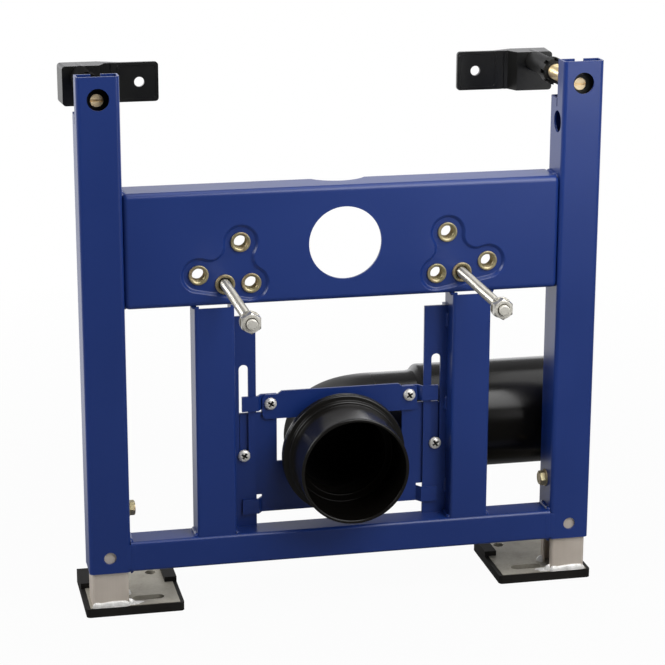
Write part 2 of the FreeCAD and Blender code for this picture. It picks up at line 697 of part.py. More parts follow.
pocket(strap, neck, "4 * clamp_sheet")
nodes.append(strap)

# Clamp screws: two hold the strap, two hold the plate to the slotted rails
for name, seat, x, z in (("strap_screws", f"{PLATE_Y} - clamp_sheet", STRAP_SCREW_X, "strap_screw_rise"),
                         ("rail_screws", f"{FLANGE_Y} - clamp_play", RAIL_SCREW_X, "0")):
    screws = make_body(name)
    for diameter, length, back in (("screw_head", "screw_head_thick", False),
                                   ("screw_shank", "screw_length", True)):
        discs = make_sketch(screws, "XZ_Plane", f"-({seat})")
        for side in ("-1", "1"):
            add_circle(discs, f"{side} * {x}", f"{WASTE_Z} + {z}", diameter)
        pad(screws, discs, length, reverse=back)
    heads = value(f"{seat} - screw_head_thick")
    round_edges(screws, "screw_head_thick / 2", lambda edge: abs(edge.BoundBox.YMax - heads) < TOLERANCE)
    nodes.append(screws)

# Waste bend: a pan socket with a collar, a quarter bend and an outlet socket, welded end to end
BEND_Y = "(front_y + run_setback - bend_radius)"
NECK_Y = "(front_y + neck_reach)"
socket = make_body("pan_socket")
turned = make_sketch(socket, "YZ_Plane")
bind(turned, AttachmentOffset__Base__y=WASTE_Z)
mouth, collar = "front_y - mouth_reach", "front_y + collar_front"
bead, groove = f"{collar} - collar_bead_width", f"{collar} + collar_width / 2"
outside, inside = "socket_diameter / 2", "(socket_diameter / 2 - socket_wall)"
rim, sunk = "collar_diameter / 2", "collar_diameter / 2 - collar_groove"
pipe_outside, pipe_inside = "pipe_diameter / 2", "(pipe_diameter / 2 - pipe_wall)"
add_polygon(turned, [(mouth, f"{inside} + rim_round"), (mouth, f"{outside} - rim_round"),
                     (f"{mouth} + rim_round", outside), (bead, outside),
                     (bead, "collar_bead / 2 - collar_round"), (f"{bead} + collar_round", "collar_bead / 2"),
                     (collar, "collar_bead / 2"),
                     (collar, f"{rim} - collar_round"), (f"{collar} + collar_round", rim),
                     (f"{groove} - collar_groove / 2", rim), (f"{groove} - collar_groove / 2", sunk),
                     (f"{groove} + collar_groove / 2", sunk), (f"{groove} + collar_groove / 2", rim),
                     (f"{collar} + collar_width", rim), (f"{collar} + collar_width", pipe_outside),
                     (NECK_Y, pipe_outside), (NECK_Y, pipe_inside), ("front_y + socket_floor", pipe_inside),
                     ("front_y + socket_floor", inside), (f"{mouth} + rim_round", inside)])
revolve(socket, turned, "H_Axis")
nodes.append(socket)

bend = make_body("waste_bend")
bores = ("bend_diameter", "bend_diameter - 2 * pipe_wall")
ring = make_sketch(bend, "XZ_Plane", f"-{BEND_Y}")
bind(ring, AttachmentOffset__Base__x="bend_radius")
throat = make_sketch(bend, "XZ_Plane", f"-{BEND_Y}")
run = make_sketch(bend, "YZ_Plane", "bend_radius")
for bore in bores:
    add_circle(ring, "-bend_radius", WASTE_Z, bore)
    add_circle(throat, "0", WASTE_Z, bore)
    add_circle(run, "front_y + run_setback", WASTE_Z, bore)
quarter = revolve(bend, ring, "V_Axis")
quarter.Angle = 90.0
quarter.Reversed = True
doc.recompute()
pad(bend, throat, f"{BEND_Y} - {NECK_Y}")
pad(bend, run, "outlet_start - bend_radius")
nodes.append(bend)

outlet = make_body("outlet_socket")
turned = make_sketch(outlet, "XY_Plane", WASTE_Z)
bind(turned, AttachmentOffset__Base__y="front_y + run_setback")
cone_end, floor = "outlet_start + outlet_cone", "outlet_start + outlet_cone + socket_wall"
outside, inside = "outlet_diameter / 2", "(outlet_diameter / 2 - socket_wall)"
bend_outside, bend_inside = "bend_diameter / 2", "(bend_diameter / 2 - pipe_wall)"
add_polygon(turned, [("outlet_start", bend_inside), ("outlet_start", bend_outside), (cone_end, outside),
                     ("outlet_end", outside), ("outlet_end", inside), (floor, inside), (floor, bend_inside)])
revolve(outlet, turned, "H_Axis")
nodes.append(outlet)

# Telescopic legs: smaller square tube, open along a gap in its inner side for the clamp bolt
for name, side in SIDES:
    leg = make_body(name + "_leg")
    left, right = f"{side} * {ROD_X} - leg_side / 2", f"{side} * {ROD_X} + leg_side / 2"
    near, far = "front_y + tube_side / 2 - leg_side / 2", "front_y + tube_side / 2 + leg_side / 2"
    section = make_sketch(leg, "XY_Plane", "foot_plate_top")
    add_round_box(section, left, right, near, far, "leg_round")
    add_round_box(section, f"{left} + leg_wall", f"{right} - leg_wall", f"{near} + leg_wall",
                  f"{far} - leg_wall", "leg_round - leg_wall")
    pad(leg, section, "leg_length")
    gap = make_sketch(leg, "YZ_Plane", f"{side} * ({ROD_X} - leg_side / 2)")
    add_box(gap, "front_y + leg_gap_y - leg_gap / 2", "front_y + leg_gap_y + leg_gap / 2",
            "foot_plate_top - cut_past", "foot_plate_top + leg_length + cut_past")
    pocket(leg, gap, "3 * leg_wall")
    nodes.append(leg)

# Feet: a steel plate welded under each leg, clipped into a plastic pad
OUTER_PAD = "(frame_width / 2 + pad_overhang)"


def add_floor_holes(sketch, side, room):
    """The slot and the round hole for the floor screws, wider all over by the room given."""
    ends = []
    for turn in ("-1", "1"):
        ends.append((f"{side} * ({ROD_X} - floor_slot_x + {turn} * floor_slot_run / 2)",
                     "front_y + floor_slot_y"))
    add_slot(sketch, *ends, f"floor_slot_width + {room}")
    add_circle(sketch, f"{side} * ({ROD_X} - floor_hole_x)", "front_y + floor_hole_y", f"floor_hole + {room}")


for name, side in SIDES:
    foot = make_body(name + "_foot_plate")
    left, right = ordered(side, f"{OUTER_PAD} - pad_width + pad_rim", f"{OUTER_PAD} - pad_rim")
    outline = make_sketch(foot, "XY_Plane", "foot_plate_top - foot_plate_thick")
    add_box(outline, left, right, "front_y + pad_front_rim", "front_y + pad_depth - pad_rim")
    pad(foot, outline, "foot_plate_thick")
    cuts = make_sketch(foot, "XY_Plane", "foot_plate_top")
    add_floor_holes(cuts, side, "0")
    pocket(foot, cuts, "4 * foot_plate_thick")
    nodes.append(foot)

for name, side in SIDES:
    shoe = make_body(name + "_foot_pad")
    left, right = ordered(side, f"{OUTER_PAD} - pad_width", OUTER_PAD)
    front_edge, back_edge = "front_y", "front_y + pad_depth"
    outline = make_sketch(shoe, "XY_Plane")
    add_round_box(outline, left, right, front_edge, back_edge, "pad_round")
    pad(shoe, outline, "pad_height")
    for edge_left, edge_right in ((left, f"{left} + clip_width"), (f"{right} - clip_width", right)):
        clip = make_sketch(shoe, "XY_Plane")
        add_box(clip, edge_left, edge_right, "front_y + clip_start", f"{back_edge} - pad_round")
        pad(shoe, clip, "clip_top")
    tray = make_sketch(shoe, "XY_Plane", "foot_plate_top")
    add_box(tray, f"{left} + pad_rim", f"{right} - pad_rim", "front_y + pad_front_rim",
            f"{back_edge} - pad_rim")
    pocket(shoe, tray, "foot_plate_thick", "One side")
    cuts = make_sketch(shoe, "XY_Plane")
    add_floor_holes(cuts, side, "floor_hole_room")
    pocket(shoe, cuts, "4 * pad_height")
    nodes.append(shoe)

# Clamp bolts: flanged hexagon bolts through the inner wall of each upright that hold the legs
for name, side in SIDES:
    bolt = make_body(name + "_clamp_bolt")
    bolt_y, bolt_z = "front_y + clamp_bolt_y", "upright_bottom + clamp_bolt_rise"
    inward = side == "1"
    shank = make_sketch(bolt, "YZ_Plane", f"{side} * {INNER_X}")
    add_circle(shank, bolt_y, bolt_z, "bolt_size")
    pad(bolt, shank, "bolt_length", reverse=not inward)
    flange = make_sketch(bolt, "YZ_Plane", f"{side} * {INNER_X}")
    add_circle(flange, bolt_y, bolt_z, "bolt_flange")
    pad(bolt, flange, "bolt_flange_thick", reverse=inward)
    head = make_sketch(bolt, "YZ_Plane", f"{side} * ({INNER_X} - bolt_flange_thick)")
    add_hexagon(head, bolt_y, bolt_z, "bolt_flats")
    pad(bolt, head, "bolt_head", reverse=inward)
    nodes.append(bolt)

# Wall brackets: a moulded block with a side wing, and a boss that runs on the rod
WALL_Y = "(front_y + wall_distance)"
for name, side in SIDES:
    bracket = make_body(name + "_wall_bracket")
    block_inner, block_outer = f"{INNER_X} + block_gap", "frame_width / 2"
    wing_end, wing_y = f"{INNER_X} - wing_inner", "front_y + wing_front"
    corners = [(wing_end, wing_y), (f"{block_inner} - joggle_width", wing_y),
               (block_inner, f"{WALL_Y} - block_depth"),
               (f"{block_outer} - block_draft", f"{WALL_Y} - block_depth"),
               (block_outer, WALL_Y), (block_inner, WALL_Y),
               (f"{INNER_X} - wedge_end", f"{wing_y} + wing_thick"), (wing_end, f"{wing_y} + wing_thick")]
    section = make_sketch(bracket, "XY_Plane", f"{ROD_Z} - bracket_centre_drop - bracket_height / 2")
    add_polygon(section, [(f"{side} * ({x})", y) for x, y in corners])
    pad(bracket, section, "bracket_height")
    inner_end, outer_end = value(wing_end), value(f"{block_outer} - block_draft")

    def at_end(edge):
        reaches = [abs(vertex.X) for vertex in edge.Vertexes]
        return max(reaches) < inner_end + TOLERANCE or min(reaches) > outer_end - TOLERANCE

    round_edges(bracket, "wing_round", lambda edge: at_end(edge) and not runs_along(edge, AXIS_Z))
    groove = make_sketch(bracket, "XZ_Plane", f"-({wing_y})")
    groove_x, middle = f"{side} * ({INNER_X} - groove_inset)", f"{ROD_Z} - bracket_centre_drop"
    add_box(groove, f"{groove_x} - groove_width / 2", f"{groove_x} + groove_width / 2",
            f"{middle} - bracket_height / 2 - cut_past", f"{middle} + bracket_height / 2 + cut_past")
    pocket(bracket, groove, "groove_depth", "One side")
    boss = make_sketch(bracket, "XZ_Plane", f"-({WALL_Y} - block_depth / 2)")
    add_circle(boss, f"{side} * {ROD_X}", ROD_Z, "boss_diameter")
    pad(bracket, boss, "wall_distance - block_depth / 2 - boss_front")
    bore = make_sketch(bracket, "XZ_Plane", "-(front_y + boss_front)")
    add_circle(bore, f"{side} * {ROD_X}", ROD_Z, "rod_size + thread_play")
    pocket(bracket, bore, "rod_bore_end - boss_front", "One side")
    fixing = make_sketch(bracket, "XZ_Plane", f"-({wing_y})")
    add_circle(fixing, f"{side} * ({INNER_X} - wall_hole_x)", middle, "wall_hole")
    pocket(bracket, fixing, "4 * wing_thick")
    nodes.append(bracket)

# Rods, sleeves and adjusting rings: each rod hangs by its neck in the lips, with a sleeve on its head
for name, side in SIDES:
    rod_x = f"{side} * {ROD_X}"
    rod = make_body(name + "_rod")
    turned = make_sketch(rod, "XY_Plane", ROD_Z)
    bind(turned, AttachmentOffset__Base__x=rod_x)
    lip_back, lip_front = "front_y + notch_keep", "front_y + notch_keep - lip_thick"
    add_polygon(turned, [("0", "front_y + rod_front"), ("rod_head / 2", "front_y + rod_front"),
                         ("rod_head / 2", lip_front), ("lip_slot / 2", lip_front), ("lip_slot / 2", lip_back),
                         ("rod_size / 2", lip_back), ("rod_size / 2", "front_y + rod_rear"),
                         ("0", "front_y + rod_rear")])
    revolve(rod, turned, "V_Axis")
    driver = make_sketch(rod, "XZ_Plane", "-(front_y + rod_front)")
    add_box(driver, f"{rod_x} - rod_size", f"{rod_x} + rod_size", f"{ROD_Z} - rod_slot / 2",
            f"{ROD_Z} + rod_slot / 2")
    pocket(rod, driver, "rod_slot_depth", "One side")
    nodes.append(rod)
    sleeve = make_body(name + "_rod_sleeve")
    face = make_sketch(sleeve, "XZ_Plane", f"-({lip_front} - clamp_play)")
    add_circle(face, rod_x, ROD_Z, "sleeve_diameter")
    add_circle(face, rod_x, ROD_Z, "rod_head + press_play")
    pad(sleeve, face, "sleeve_length")
    nodes.append(sleeve)
    ring = make_body(name + "_rod_ring")
    face = make_sketch(ring, "XZ_Plane", "-(front_y + boss_front)")
    add_circle(face, rod_x, ROD_Z, "ring_diameter")
    add_circle(face, rod_x, ROD_Z, "rod_size + thread_play")
    pad(ring, face, "ring_length")
    notch = make_sketch(ring, "XZ_Plane", "-(front_y + boss_front - ring_length)")
    add_box(notch, f"{rod_x} - ring_notch / 2", f"{rod_x} + ring_notch / 2",
            f"{ROD_Z} + ring_diameter / 2 - ring_notch_depth", f"{ROD_Z} + ring_diameter / 2 + cut_past")
    cut = pocket(ring, notch, "ring_notch_length", "One side")
    axis_sketch = make_sketch(ring, "XZ_Plane", "-(front_y + boss_front)")
    bind(axis_sketch, AttachmentOffset__Base__x=rod_x, AttachmentOffset__Base__y=ROD_Z)
    around = ring.newObject("PartDesign::PolarPattern", ring.Label + "_pattern")
    around.Originals = [cut]
    around.Axis = (axis_sketch, ["N_Axis"])
    around.Angle = 360.0
    around.Occurrences = RING_NOTCHES
    ring.Tip = around
    doc.recompute()
    nodes.append(ring)

doc.recompute()
os.makedirs("parts", exist_ok=True)
for thing in doc.Objects:
    if "Invalid" in thing.State or "Error" in thing.State:
        raise RuntimeError(thing.Label + " did not build")
for node in nodes:
    if node.Shape.isNull() or not node.Shape.isValid():
        raise RuntimeError(node.Label + " has no valid shape")
    node.Shape.exportStep("parts/" + node.Label + ".step")
    box = node.Shape.BoundBox
    print(f"{node.Label}: {len(node.Shape.Solids)} solids, {node.Shape.Volume:.0f} mm3, "
          f"x {box.XMin:.1f} {box.XMax:.1f}, y {box.YMin:.1f} {box.YMax:.1f}, "
          f"z {box.ZMin:.1f} {box.ZMax:.1f}")
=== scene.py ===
import bmesh
import bpy
import math
import numpy as np
from mathutils import Matrix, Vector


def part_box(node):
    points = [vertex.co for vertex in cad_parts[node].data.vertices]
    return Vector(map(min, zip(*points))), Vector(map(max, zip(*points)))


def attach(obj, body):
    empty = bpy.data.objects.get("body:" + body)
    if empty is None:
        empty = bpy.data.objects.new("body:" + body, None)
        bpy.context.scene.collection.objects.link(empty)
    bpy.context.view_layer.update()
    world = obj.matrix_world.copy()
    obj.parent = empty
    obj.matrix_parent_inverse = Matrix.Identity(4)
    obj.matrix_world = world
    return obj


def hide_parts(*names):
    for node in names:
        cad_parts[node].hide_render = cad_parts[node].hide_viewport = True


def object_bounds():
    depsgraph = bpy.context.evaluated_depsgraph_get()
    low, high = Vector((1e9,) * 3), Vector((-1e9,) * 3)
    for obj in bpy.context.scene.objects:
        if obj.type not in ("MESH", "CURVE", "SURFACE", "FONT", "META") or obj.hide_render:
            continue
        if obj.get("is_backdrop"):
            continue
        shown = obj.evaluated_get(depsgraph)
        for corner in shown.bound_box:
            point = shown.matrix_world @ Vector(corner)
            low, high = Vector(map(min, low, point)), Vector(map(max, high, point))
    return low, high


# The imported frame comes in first: its pieces keep their place and their meshes.
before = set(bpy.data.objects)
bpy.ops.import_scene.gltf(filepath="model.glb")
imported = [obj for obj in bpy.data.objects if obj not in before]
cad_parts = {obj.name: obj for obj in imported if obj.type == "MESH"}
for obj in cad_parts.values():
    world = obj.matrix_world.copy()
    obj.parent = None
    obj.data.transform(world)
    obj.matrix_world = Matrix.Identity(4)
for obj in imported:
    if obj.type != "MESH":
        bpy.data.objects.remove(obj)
cad_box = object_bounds()


# Uprights, crossbar, bottom rail, inner posts, slotted rails, clamp plate and strap.
# Welded steel tube and folded sheet, powder coated in one deep blue after welding.
# The coat is a satin film with a faint orange peel over slow clouds of tone.
class Signal:
    """A shader socket. Arithmetic on signals and numbers adds Math nodes to the same material."""

    def __init__(self, tree, socket=None):
        self.tree = tree
        self.socket = socket

    def node(self, kind, settings=(), inputs=(), out=0):
        """Any node: its settings are set first, then its sockets get values or links."""
        made = self.tree.nodes.new(kind)
        for name, setting in dict(settings).items():
            if name == "stops":
                while len(made.color_ramp.elements) < len(setting):
                    made.color_ramp.elements.new(0.5)
                for element, (position, colour) in zip(made.color_ramp.elements, setting):
                    element.position = position
                    element.color = (*colour, 1.0)
            else:
                setattr(made, name, setting)
        for name, given in dict(inputs).items():
            plug(made.inputs[name], given)
        return Signal(self.tree, made.outputs[out])

    def math(self, operation, *operands):
        return self.node("ShaderNodeMath", {"operation": operation}, enumerate(operands))

    def __add__(self, other):
        return self.math("ADD", self, other)

    def __sub__(self, other):
        return self.math("SUBTRACT", self, other)

    def __rsub__(self, other):
        return self.math("SUBTRACT", other, self)

    def __mul__(self, other):
        return self.math("MULTIPLY", self, other)

    __radd__ = __add__
    __rmul__ = __mul__

    def axes(self):
        """The three parts of a place, each a signal of its own."""
        return [self.node("ShaderNodeSeparateXYZ", inputs={0: self}, out=axis) for axis in "XYZ"]

    def size(self):
        """This signal without its sign."""
        return self.math("ABSOLUTE", self)

    def off_axis(self, other):
        """The distance from an axis, where this signal and the other are the two ways off it."""
        return self.math("SQRT", self * self + other * other)

    def noise(self, scale, detail=3.0, stretch=(1.0, 1.0, 1.0)):
        """Noise over this place, between 0 and 1, with its scale in waves a metre.
        A small stretch draws it out along that axis."""
        drawn = self.node("ShaderNodeMapping", inputs={"Vector": self, "Scale": stretch})
        return self.node("ShaderNodeTexNoise", inputs={"Vector": drawn, "Scale": scale, "Detail": detail})

    def steps(self, low, high):
        """0 below the low value, 1 above the high one and even between them."""
        return self.node("ShaderNodeMapRange", inputs={"Value": self, "From Min": low, "From Max": high})

    def spread(self):
        """Noise drawn out to the whole of 0 to 1, since most of it lies between 0.3 and 0.7."""
        return self.steps(0.3, 0.7)

    def blend(self, low, high):
        """Two colours mixed by this signal, each given as a colour or as a signal of one.
        Sockets 0, 6 and 7 of the Mix node are its factor and its two colours."""
        low, high = (given if isinstance(given, Signal) else (*given, 1.0) for given in (low, high))
        return self.node("ShaderNodeMix", {"data_type": "RGBA"}, {0: self, 6: low, 7: high}, out=2)

    def ramp(self, *stops):
        """Colours at positions along this signal."""
        return self.node("ShaderNodeValToRGB", {"stops": stops}, {"Fac": self})

    def bump(self, height, strength):
        """A normal raised by this signal, where 1 stands the height in metres."""
        return self.node("ShaderNodeBump", inputs={"Height": self, "Distance": height, "Strength": strength})


def plug(socket, given):
    """Link a signal to a socket, or set the socket to a number or a colour."""
    if isinstance(given, Signal):
        given.tree.links.new(given.socket, socket)
    else:
        socket.default_value = given


def new_finish(name):
    """A new material with its shader and a signal of the place on the object, in metres."""
    finish = bpy.data.materials.new(name)
    finish.use_nodes = True
    place = Signal(finish.node_tree).node("ShaderNodeTexCoord", out="Object")
    return finish, finish.node_tree.nodes["Principled BSDF"], place


def feed(shader, **sockets):
    """Set the shader's sockets to numbers and colours, or link signals to them."""
    for name, given in sockets.items():
        plug(shader.inputs[name.replace("_", " ")], given)


def dress(finish, *nodes):
    """Give CAD nodes a finish."""
    for name in nodes:
        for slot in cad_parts[name].material_slots:
            slot.material = finish


def pair(*names):
    """The left and the right node of each name."""
    return [side + name for name in names for side in ("left_", "right_")]


COAT_DARK, COAT_LIGHT = (0.0075, 0.0285, 0.161), (0.0100, 0.0342, 0.184)
PEEL_HEIGHT = 0.00005
blue_coat, shader, place = new_finish("blue_powder_coat")
cloud = place.noise(scale=6.0, detail=2.0)
peel = place.noise(scale=850.0, detail=2.0)
feed(shader, Base_Color=cloud.spread().blend(COAT_DARK, COAT_LIGHT), Roughness=0.30 + cloud * 0.08,
     Normal=peel.bump(PEEL_HEIGHT, strength=0.6), IOR=1.5, Coat_Weight=0.10, Coat_Roughness=0.10)
dress(blue_coat, *pair("upright", "inner_post", "slotted_rail"), "crossbar", "bottom_rail", "clamp_plate",
      "clamp_strap")


# Weld seams under the coat: where the crossbar, the rails and the posts meet the tubes.
# Each is a fillet of weld metal, laid in overlapping drops, and coated with the frame.
def lay_grid(name, points, finish, body, close_rows=False, sharp=35.0):
    """A mesh through a grid of points whose columns close on themselves; its faces turn outwards."""
    rows, columns = points.shape[:2]
    index = np.arange(rows * columns).reshape(rows, columns)
    if close_rows:
        index = np.vstack([index, index[:1]])
    index = np.hstack([index, index[:, :1]])
    quads = np.stack([index[:-1, :-1], index[:-1, 1:], index[1:, 1:], index[1:, :-1]], axis=-1)
    mesh = bpy.data.meshes.new(name)
    mesh.from_pydata(points.reshape(-1, 3).tolist(), [], quads.reshape(-1, 4).tolist())
    merged = bmesh.new()
    merged.from_mesh(mesh)
    bmesh.ops.remove_doubles(merged, verts=merged.verts, dist=1e-6)
    bmesh.ops.dissolve_degenerate(merged, edges=merged.edges, dist=1e-7)
    bmesh.ops.recalc_face_normals(merged, faces=merged.faces)
    merged.to_mesh(mesh)
    merged.free()
    mesh.shade_smooth()
    mesh.set_sharp_from_angle(angle=math.radians(sharp))
    mesh.materials.append(finish)
    piece = bpy.data.objects.new(name, mesh)
    bpy.context.scene.collection.objects.link(piece)
    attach(piece, body)
    return piece


def seam(start, end, first, second, size):
    """A fillet weld between two faces: a quarter disc carried from start to end.
    Its size swells with short drops and longer waves, both uneven, and falls to nothing at the ends."""
    step, end_length, root_depth = 0.0006, 0.004, 0.08
    drop, drop_drift, wave, wave_drift = 0.0008, 0.0019, 0.0031, 0.0073
    drop_share, wave_share, wave_swing = 0.05, 0.10, 1.6
    start, end, first, second = (np.array(given, dtype=float) for given in (start, end, first, second))
    length = np.linalg.norm(end - start)
    along = np.linspace(0.0, 1.0, max(16, int(length / step)))[:, None, None]
    turn = np.linspace(0.0, math.pi / 2, 7)[None, :, None]
    way = along * length
    drops = drop_share * np.abs(np.sin(way / drop + np.sin(way / drop_drift)))
    waves = wave_share * np.sin(way / wave + wave_swing * np.sin(way / wave_drift))
    ends = np.sqrt(np.clip(1.0 - np.abs(2.0 * along - 1.0) ** (length / end_length), 0.0, 1.0))
    arc = np.cos(turn) * first + np.sin(turn) * second
    root = np.zeros((1, 1, 3)) - root_depth * (first + second)
    section = np.concatenate([arc, root], axis=1)
    return start + along * (end - start) + size * (1.0 + drops + waves) * ends * section


SIDES = (("left", -1), ("right", 1))
LEFT, RIGHT, FRONT, BACK = (-1, 0, 0), (1, 0, 0), (0, -1, 0), (0, 1, 0)
UP, DOWN = (0, 0, 1), (0, 0, -1)
FLAT_FRONT = (0.0, -0.05, 0.0)
RAIL_SEAM, RAIL_BACK_SEAM, RAIL_FRONT_SEAM, BAR_SEAM = 0.0030, 0.0032, 0.0047, 0.0050
POST_SEAM, GUIDE_SEAM = 0.0030, 0.0024
RAIL_CORNER, BAR_CORNER, BAR_FRONT_CORNER, BACK_EDGE = 0.002, 0.004, 0.006, 0.001
POST_EDGE, POST_FOOT_RUN, POST_HEAD_RUN = 0.001, 0.026, 0.018
GUIDE_RISES, GUIDE_RUN = (0.020, 0.105, 0.190), 0.016
bar_low, bar_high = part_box("crossbar")
rail_low, rail_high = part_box("bottom_rail")
rail_front, rail_back = rail_low[1] + RAIL_CORNER, rail_high[1] - RAIL_CORNER
rail_under, rail_top = rail_low[2] + RAIL_CORNER, rail_high[2] - RAIL_CORNER
bar_front, bar_back = bar_low[1] + BAR_FRONT_CORNER, bar_high[1] - BACK_EDGE
for side, sign in SIDES:
    wall_x = sign * rail_high[0]
    inward, outward = (-sign, 0, 0), (sign, 0, 0)
    seams = [((wall_x, rail_front, z), (wall_x, rail_back, z), inward, turn, RAIL_SEAM)
             for z, turn in ((rail_high[2], UP), (rail_low[2], DOWN))]
    seams.append(((wall_x, rail_high[1], rail_under), (wall_x, rail_high[1], rail_top),
                  inward, BACK, RAIL_BACK_SEAM))
    seams += [((wall_x, bar_front, z), (wall_x, bar_back, z), inward, turn, BAR_SEAM)
              for z, turn in ((bar_high[2] - BAR_CORNER, UP), (bar_low[2] + BAR_CORNER, DOWN))]
    post_low, post_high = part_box(side + "_inner_post")
    post_inner, post_outer = sorted((abs(post_low[0]), abs(post_high[0])))
    for post_x, away in ((sign * post_inner, inward), (sign * post_outer, outward)):
        for z, turn, run in ((rail_high[2], UP, POST_FOOT_RUN), (bar_low[2], DOWN, POST_HEAD_RUN)):
            seams.append(((post_x, post_low[1] + POST_EDGE, z), (post_x, post_low[1] + run, z),
                          away, turn, POST_SEAM))
    seams += [((wall_x, rail_low[1], rail_under), (wall_x, rail_low[1], rail_top),
               away, FLAT_FRONT, RAIL_FRONT_SEAM) for away in (LEFT, RIGHT)]
    guide_x = sign * post_inner
    guide_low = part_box(side + "_slotted_rail")[0]
    for rise in GUIDE_RISES:
        z = guide_low[2] + rise
        seams.append(((guide_x, guide_low[1], z), (guide_x, guide_low[1], z + GUIDE_RUN),
                      inward, FRONT, GUIDE_SEAM))
    for number, run in enumerate(seams):
        lay_grid(f"{side}_frame_weld_{number}", seam(*run), blue_coat, "frame")


# Stud bushes: turned steel bushes with a thin rim, plated in yellow zinc, seated in the recesses.
# Three on each side stand open and show their thread, and the stud fills the fourth.
GRAIN_HEIGHT = 0.00003
yellow_zinc, shader, place = new_finish("yellow_zinc")
bloom = place.noise(scale=70.0)
grain = place.noise(scale=1500.0, detail=2.0)
tint = bloom.ramp((0.30, (0.34, 0.30, 0.165)), (0.46, (0.45, 0.39, 0.23)), (0.58, (0.42, 0.32, 0.19)),
                  (0.72, (0.36, 0.36, 0.22)))
feed(shader, Base_Color=tint, Metallic=0.65, Roughness=0.30 + grain * 0.12,
     Normal=grain.bump(GRAIN_HEIGHT, strength=0.5))


def turned(rows, centre, axis, count=48, pitch=1.0, flats=1.0, twist=0.0):
    """A turned piece: rows of (along, radius, thread depth) carried round an axis through the centre.
    The radius falls by the depth times a triangle wave that moves on by one pitch a turn.
    It is cut off by a hexagon of the given width across its flats, turned by the twist.
    A hexagon a metre wide cuts off nothing."""
    along, radius, depth = np.array(rows, dtype=float).T[:, :, None]
    angle = np.linspace(0.0, 2.0 * math.pi, count, endpoint=False)[None, :]
    wave = np.abs(2.0 * np.mod(along / pitch - angle / (2.0 * math.pi), 1.0) - 1.0)
    sixth = math.pi / 3.0
    hexagon = flats / 2.0 / np.cos(np.mod(angle + twist, sixth) - sixth / 2.0)
    radius = np.minimum(radius - depth * wave, hexagon)
    points = np.zeros((*radius.shape, 3)) + np.array(centre, dtype=float)
    first, second = [number for number in range(3) if number != axis]
    points[:, :, axis] = along
    points[:, :, first] += radius * np.cos(angle)
    points[:, :, second] += radius * np.sin(angle)
    return points


def rounded(corners, steps=5):
    """Rows for a turned piece: a closed chain of (along, radius, rounding) corners, each cut by a curve.
    The curve is a parabola from one rounding before the corner to one after it."""
    no_length, nearly_half = 1e-9, 0.49
    points = np.array(corners, dtype=float)
    share = np.linspace(0.0, 1.0, steps)[None, :, None]
    here = points[:, None, :2]

    def towards(other):
        step = other[:, None, :2] - here
        size = np.maximum(np.linalg.norm(step, axis=2, keepdims=True), no_length)
        return here + step / size * np.minimum(points[:, None, 2:3], size * nearly_half)

    start, end = towards(np.roll(points, 1, axis=0)), towards(np.roll(points, -1, axis=0))
    curve = (1 - share) ** 2 * start + 2 * share * (1 - share) * here + share ** 2 * end
    return np.pad(curve.reshape(-1, 2), ((0, 0), (0, 1)))


def thread(start, end, radius, depth, pitch):
    """Rows of a thread from start to end, whose depth fades in and out over one pitch."""
    rows_a_pitch = 6
    along = np.linspace(start, end, int(abs(end - start) / pitch * rows_a_pitch))
    near_end = np.minimum(np.abs(along - start), np.abs(along - end))
    return np.column_stack([along, np.full_like(along, radius), depth * np.clip(near_end / pitch, 0.0, 1.0)])


X_AXIS, Y_AXIS = 0, 1
STUD_X, STUD_Z = 0.115, 0.324
BUSH_PLACES = ((0.090, STUD_Z), (STUD_X, STUD_Z), (0.140, 0.334), (0.100, 0.364))
BUSH_RIM, BUSH_BARREL, BUSH_BORE, RIM_THICK = 0.0095, 0.0080, 0.0066, 0.002
BUSH_PITCH, BUSH_THREAD, THREAD_INSET, THREAD_BACK_INSET = 0.00175, 0.0008, 0.001, 0.0002
bush_low, bush_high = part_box("left_bushes")
bush_front, bush_back = bush_low[1], bush_high[1]
rim_back = bush_front + RIM_THICK
rim = rounded([(bush_back, BUSH_BORE, 0.0003), (bush_back, BUSH_BARREL, 0.0004),
               (rim_back, BUSH_BARREL, 0.0001), (rim_back, BUSH_RIM, 0.0004),
               (bush_front, BUSH_RIM, 0.0007), (bush_front, BUSH_BORE + BUSH_THREAD, 0.0006)])
bore = thread(bush_front + THREAD_INSET, bush_back - THREAD_BACK_INSET, BUSH_BORE, BUSH_THREAD, BUSH_PITCH)
rows = np.vstack([rim, bore])
for side, sign in SIDES:
    for number, (x, z) in enumerate(BUSH_PLACES):
        points = turned(rows, (sign * x, 0.0, z), Y_AXIS, 48, BUSH_PITCH)
        bush = lay_grid(f"{side}_bush_{number}", points, yellow_zinc, "frame", close_rows=True)
        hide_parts(side + "_bushes")


# Studs: long threaded rods of bright zinc plated steel through the middle bushes, held by a nut behind them.
# Each carries a washer and a chamfered nut near its rounded tip, where the pan is drawn up.
STUD_RADIUS, STUD_TIP, STUD_TAIL, STUD_END = 0.0050, 0.0045, 0.0042, 0.002
STUD_PITCH, STUD_THREAD = 0.0015, 0.0006
NUT_FLATS, NUT_CORNER, NUT_FACE, NUT_CHAMFER = 0.0170, 0.0100, 0.0082, 0.0011
NUT_FRONT, NUT_BACK, BACK_NUT_THICK = 0.0035, 0.0120, 0.0080
WASHER_RADIUS, WASHER_BACK = 0.0098, 0.0135
ZINC_DARK, ZINC_LIGHT, SHANK_COLOUR = (0.60, 0.58, 0.515), (0.76, 0.735, 0.67), (0.54, 0.52, 0.46)
STREAK_HEIGHT = 0.00002
bright_steel, shader, place = new_finish("bright_zinc")
bloom = place.noise(scale=45.0)
streak = place.noise(scale=900.0, detail=2.0, stretch=(1.0, 0.03, 1.0))
across, along, height = place.axes()
away = (across.size() - STUD_X).off_axis(height - STUD_Z)
front_end = cad_box[0][1]
